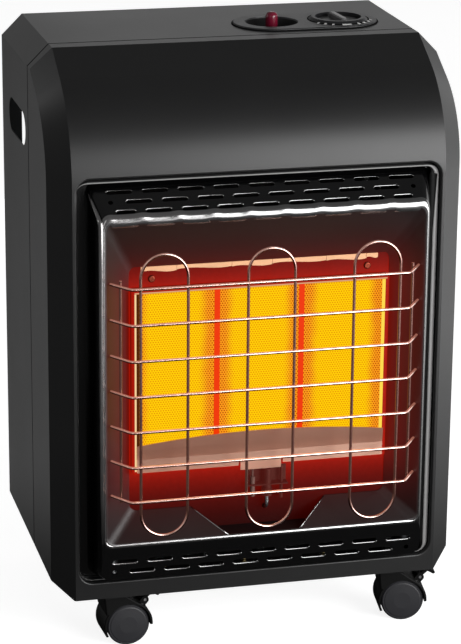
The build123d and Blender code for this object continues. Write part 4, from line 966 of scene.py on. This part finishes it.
# %% [markdown]
# ## Marks and gaps on the control panel
# Round the knob's ring are plain marks for its settings: short dashes, with a broad bar at the front. They
# are printed, so an image would do, but small faces keep a sharp edge at any distance. The gaps round the
# panel and round the knob's ring lie in shade and show as dark lines, and a thin black tube of painted shade
# stands for each line.

# %% Marks and gaps
panel_low, panel_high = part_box("control_bezel")
panel_radius = (panel_high.y - panel_low.y) / 2
knob_middle = Vector((panel_high.x - panel_radius, (panel_high.y + panel_low.y) / 2, bezel_top))
button_middle = Vector((panel_low.x + panel_radius, knob_middle.y, bezel_top))
ring_height = 2.8 * MM
mark_radius, mark_half_length = 34.2 * MM, 1.6 * MM
mark_inner_rise, mark_outer_rise = 1.1 * MM, 0.4 * MM
# Each mark's middle and its width, in degrees round the knob from +X.
marks = ((-142, 4), (-128, 5), (-114, 4), (-90, 16), (-67, 5), (-54, 6), (-40, 4), (-26, 3))
panel_gap_out, panel_gap_up, panel_gap_radius = 0.7 * MM, 0.2 * MM, 0.9 * MM
ring_gap_at, ring_gap_radius = 31.4 * MM, 0.7 * MM


def arc(centre, radius, start, end, steps):
    """Points on a level arc, its angles in degrees from +X."""
    turns = [math.radians(start + (end - start) * step / steps) for step in range(steps + 1)]
    return [centre + Vector((math.cos(turn), math.sin(turn), 0.0)) * radius for turn in turns]


def dial_marks():
    """Plain pale dashes on the ring's slope."""
    ink = Finish("mark_ink", roughness=0.5)
    ink.feed("base_color", ink.tint(ink.noise(1 * MM), (0.55, 0.55, 0.54), (0.75, 0.75, 0.74)))
    mesh = bmesh.new()
    for angle, width in marks:
        sides = []
        for radius, rise in ((mark_radius - mark_half_length, mark_inner_rise),
                             (mark_radius + mark_half_length, mark_outer_rise)):
            centre = knob_middle + Vector((0.0, 0.0, rise - ring_height))
            sides.append(outline(mesh, arc(centre, radius, angle - width / 2, angle + width / 2, 4), False))
        bridge(mesh, sides)
    piece("dial_marks", mesh, ink.material)


def panel_gaps():
    """Painted shade for the gaps round the panel and round the knob's ring."""
    # Painted shade: a near-black tube stands for the shade in each gap.
    gap_shade = Finish("painted_gap_shade", specular_ior_level=0.1)
    gap_shade.feed("roughness", 0.8 + gap_shade.noise(2 * MM) * 0.1)
    gap_shade.feed("base_color", gap_shade.tint(gap_shade.noise(4 * MM), (0.001, 0.001, 0.001), (0.002, 0.002, 0.002)))
    mesh = bmesh.new()
    up = Vector((0.0, 0.0, 1.0))
    casing_top = Vector((0.0, 0.0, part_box("rear_casing")[1].z - bezel_top + panel_gap_up))
    rim = panel_radius + panel_gap_out
    path = arc(knob_middle + casing_top, rim, -90, 90, 32) + arc(button_middle + casing_top, rim, 90, 270, 32)
    tube(mesh, path, panel_gap_radius, up, closed=True)
    ring_foot = knob_middle - up * ring_height
    tube(mesh, arc(ring_foot, ring_gap_at, 0, 360, 64)[:-1], ring_gap_radius, up, closed=True)
    piece("panel_gaps", mesh, gap_shade.material)


dial_marks()
panel_gaps()

# %% [markdown]
# ## Floor and sky
# The heater stands on a pale floor under a white sky. A black satin object shows only what it mirrors, so a
# white floor would wash its lower half out. Both are therefore bright to the camera and dimmer where the
# heater mirrors them, which the Light Path node can tell apart. Neither is a part of the heater.

# %% Floor and sky
floor_size = 7.0
sky_seen, sky_as_light = 1.0, 0.17


def floor():
    """A pale floor: bright to the camera, dim where the heater mirrors it."""
    mesh = bmesh.new()
    bmesh.ops.create_grid(mesh, x_segments=1, y_segments=1, size=floor_size)
    data = bpy.data.meshes.new("studio_floor")
    mesh.to_mesh(data)
    mesh.free()
    pale = Finish("studio_floor", roughness=0.9, specular_ior_level=0.0, emission_strength=1.0)
    mirrored = pale.make("ShaderNodeLightPath", {}, {}, "Is Glossy Ray")
    seen = pale.make("ShaderNodeLightPath", {}, {}, "Is Camera Ray")
    x, y = pale.axis("X"), pale.axis("Y")
    # The mirrored floor is brighter right of the heater and behind it, and a little so far to its left.
    bright = x.fade(0.25, 0.7).most(y.fade(0.0, 0.5)).most(x.fade(-0.5, -1.0) * 0.4)
    dim = pale.tint(bright, (0.08, 0.08, 0.08), (0.70, 0.70, 0.70))
    pale.feed("base_color", pale.tint(mirrored, (0.42, 0.42, 0.42), dim))
    pale.feed("emission_color", pale.tint(seen, black, (0.85, 0.85, 0.85)))
    data.materials.append(pale.material)
    ground = bpy.data.objects.new("studio_floor", data)
    bpy.context.scene.collection.objects.link(ground)


def sky(seen_level, light_level):
    """A white surround for the camera, dimmer as a light."""
    world = bpy.data.worlds.new("studio_sky")
    world.use_nodes = True
    bpy.context.scene.world = world
    nodes, links = world.node_tree.nodes, world.node_tree.links
    path = nodes.new("ShaderNodeLightPath")
    level = nodes.new("ShaderNodeMapRange")
    level.inputs["To Min"].default_value = light_level
    level.inputs["To Max"].default_value = seen_level
    links.new(path.outputs["Is Camera Ray"], level.inputs["Value"])
    links.new(level.outputs["Result"], nodes["Background"].inputs["Strength"])
    nodes["Background"].inputs["Color"].default_value = (1.0, 1.0, 1.0, 1.0)


floor()
sky(sky_seen, sky_as_light)
print("sky:", sky_seen, "to the camera and", sky_as_light, "as a light")

# %% [markdown]
# ## Lights
# Each light is a large soft panel with one job. A box in front at the right makes the band across the crown
# and the sheen on the pan, a narrow strip and a card at the left edge the left side, a card at the right
# lights the right cheek, a low fill behind shows the inside, and two panels behind light the top. The
# camera doesn't see them. A box near the heater is set by how bright its face is, so it can be made larger
# without getting brighter; the two panels behind are set by their power in watts.

# %% Lights
aim_y, back_panels_aim = -0.1, (0.0, 0.0, 0.6)
# Azimuth in degrees from the front to the right, distance, height, width, length and radiance.
softboxes = {
    "front_right_box": (37, 2.0, 0.77, 1.8, 1.54, 10.0),
    "left_strip_box": (-38, 0.9, 0.5, 0.26, 1.0, 0.9),
    "left_card": (-120, 0.9, 0.5, 0.25, 1.0, 2.0),
    "right_card": (104, 1.0, 0.4, 1.0, 0.8, 1.1),
    "rear_fill": (165, 1.7, 0.25, 1.0, 0.5, 1.2),
}
# Place, width, length and power.
back_panels = {
    "back_panel": ((1.7, 3.2, 1.55), 3.0, 1.0, 6.0),
    "back_left_panel": ((-1.2, 3.2, 1.3), 1.8, 1.0, 1.0),
}


def soft_panel(name, place, target, width, height, power):
    """A rectangular soft light at a place, turned to a target."""
    light = bpy.data.lights.new(name, "AREA")
    light.shape = "RECTANGLE"
    light.size, light.size_y = width, height
    light.energy = power
    panel = bpy.data.objects.new(name, light)
    panel.location = place
    panel.rotation_euler = (Vector(target) - Vector(place)).to_track_quat("-Z", "Y").to_euler()
    panel.visible_camera = False
    bpy.context.scene.collection.objects.link(panel)


def softbox(name, azimuth, distance, middle_z, width, height, radiance):
    """A soft light that stands round the heater and faces it."""
    turn = math.radians(azimuth)
    place = (distance * math.sin(turn), aim_y - distance * math.cos(turn), middle_z)
    soft_panel(name, place, (0.0, aim_y, middle_z), width, height, math.pi * width * height * radiance)


for box_name, box_values in softboxes.items():
    softbox(box_name, *box_values)
for panel_name, (panel_place, *panel_values) in back_panels.items():
    soft_panel(panel_name, panel_place, back_panels_aim, *panel_values)
bpy.context.scene.view_settings.view_transform = "Standard"
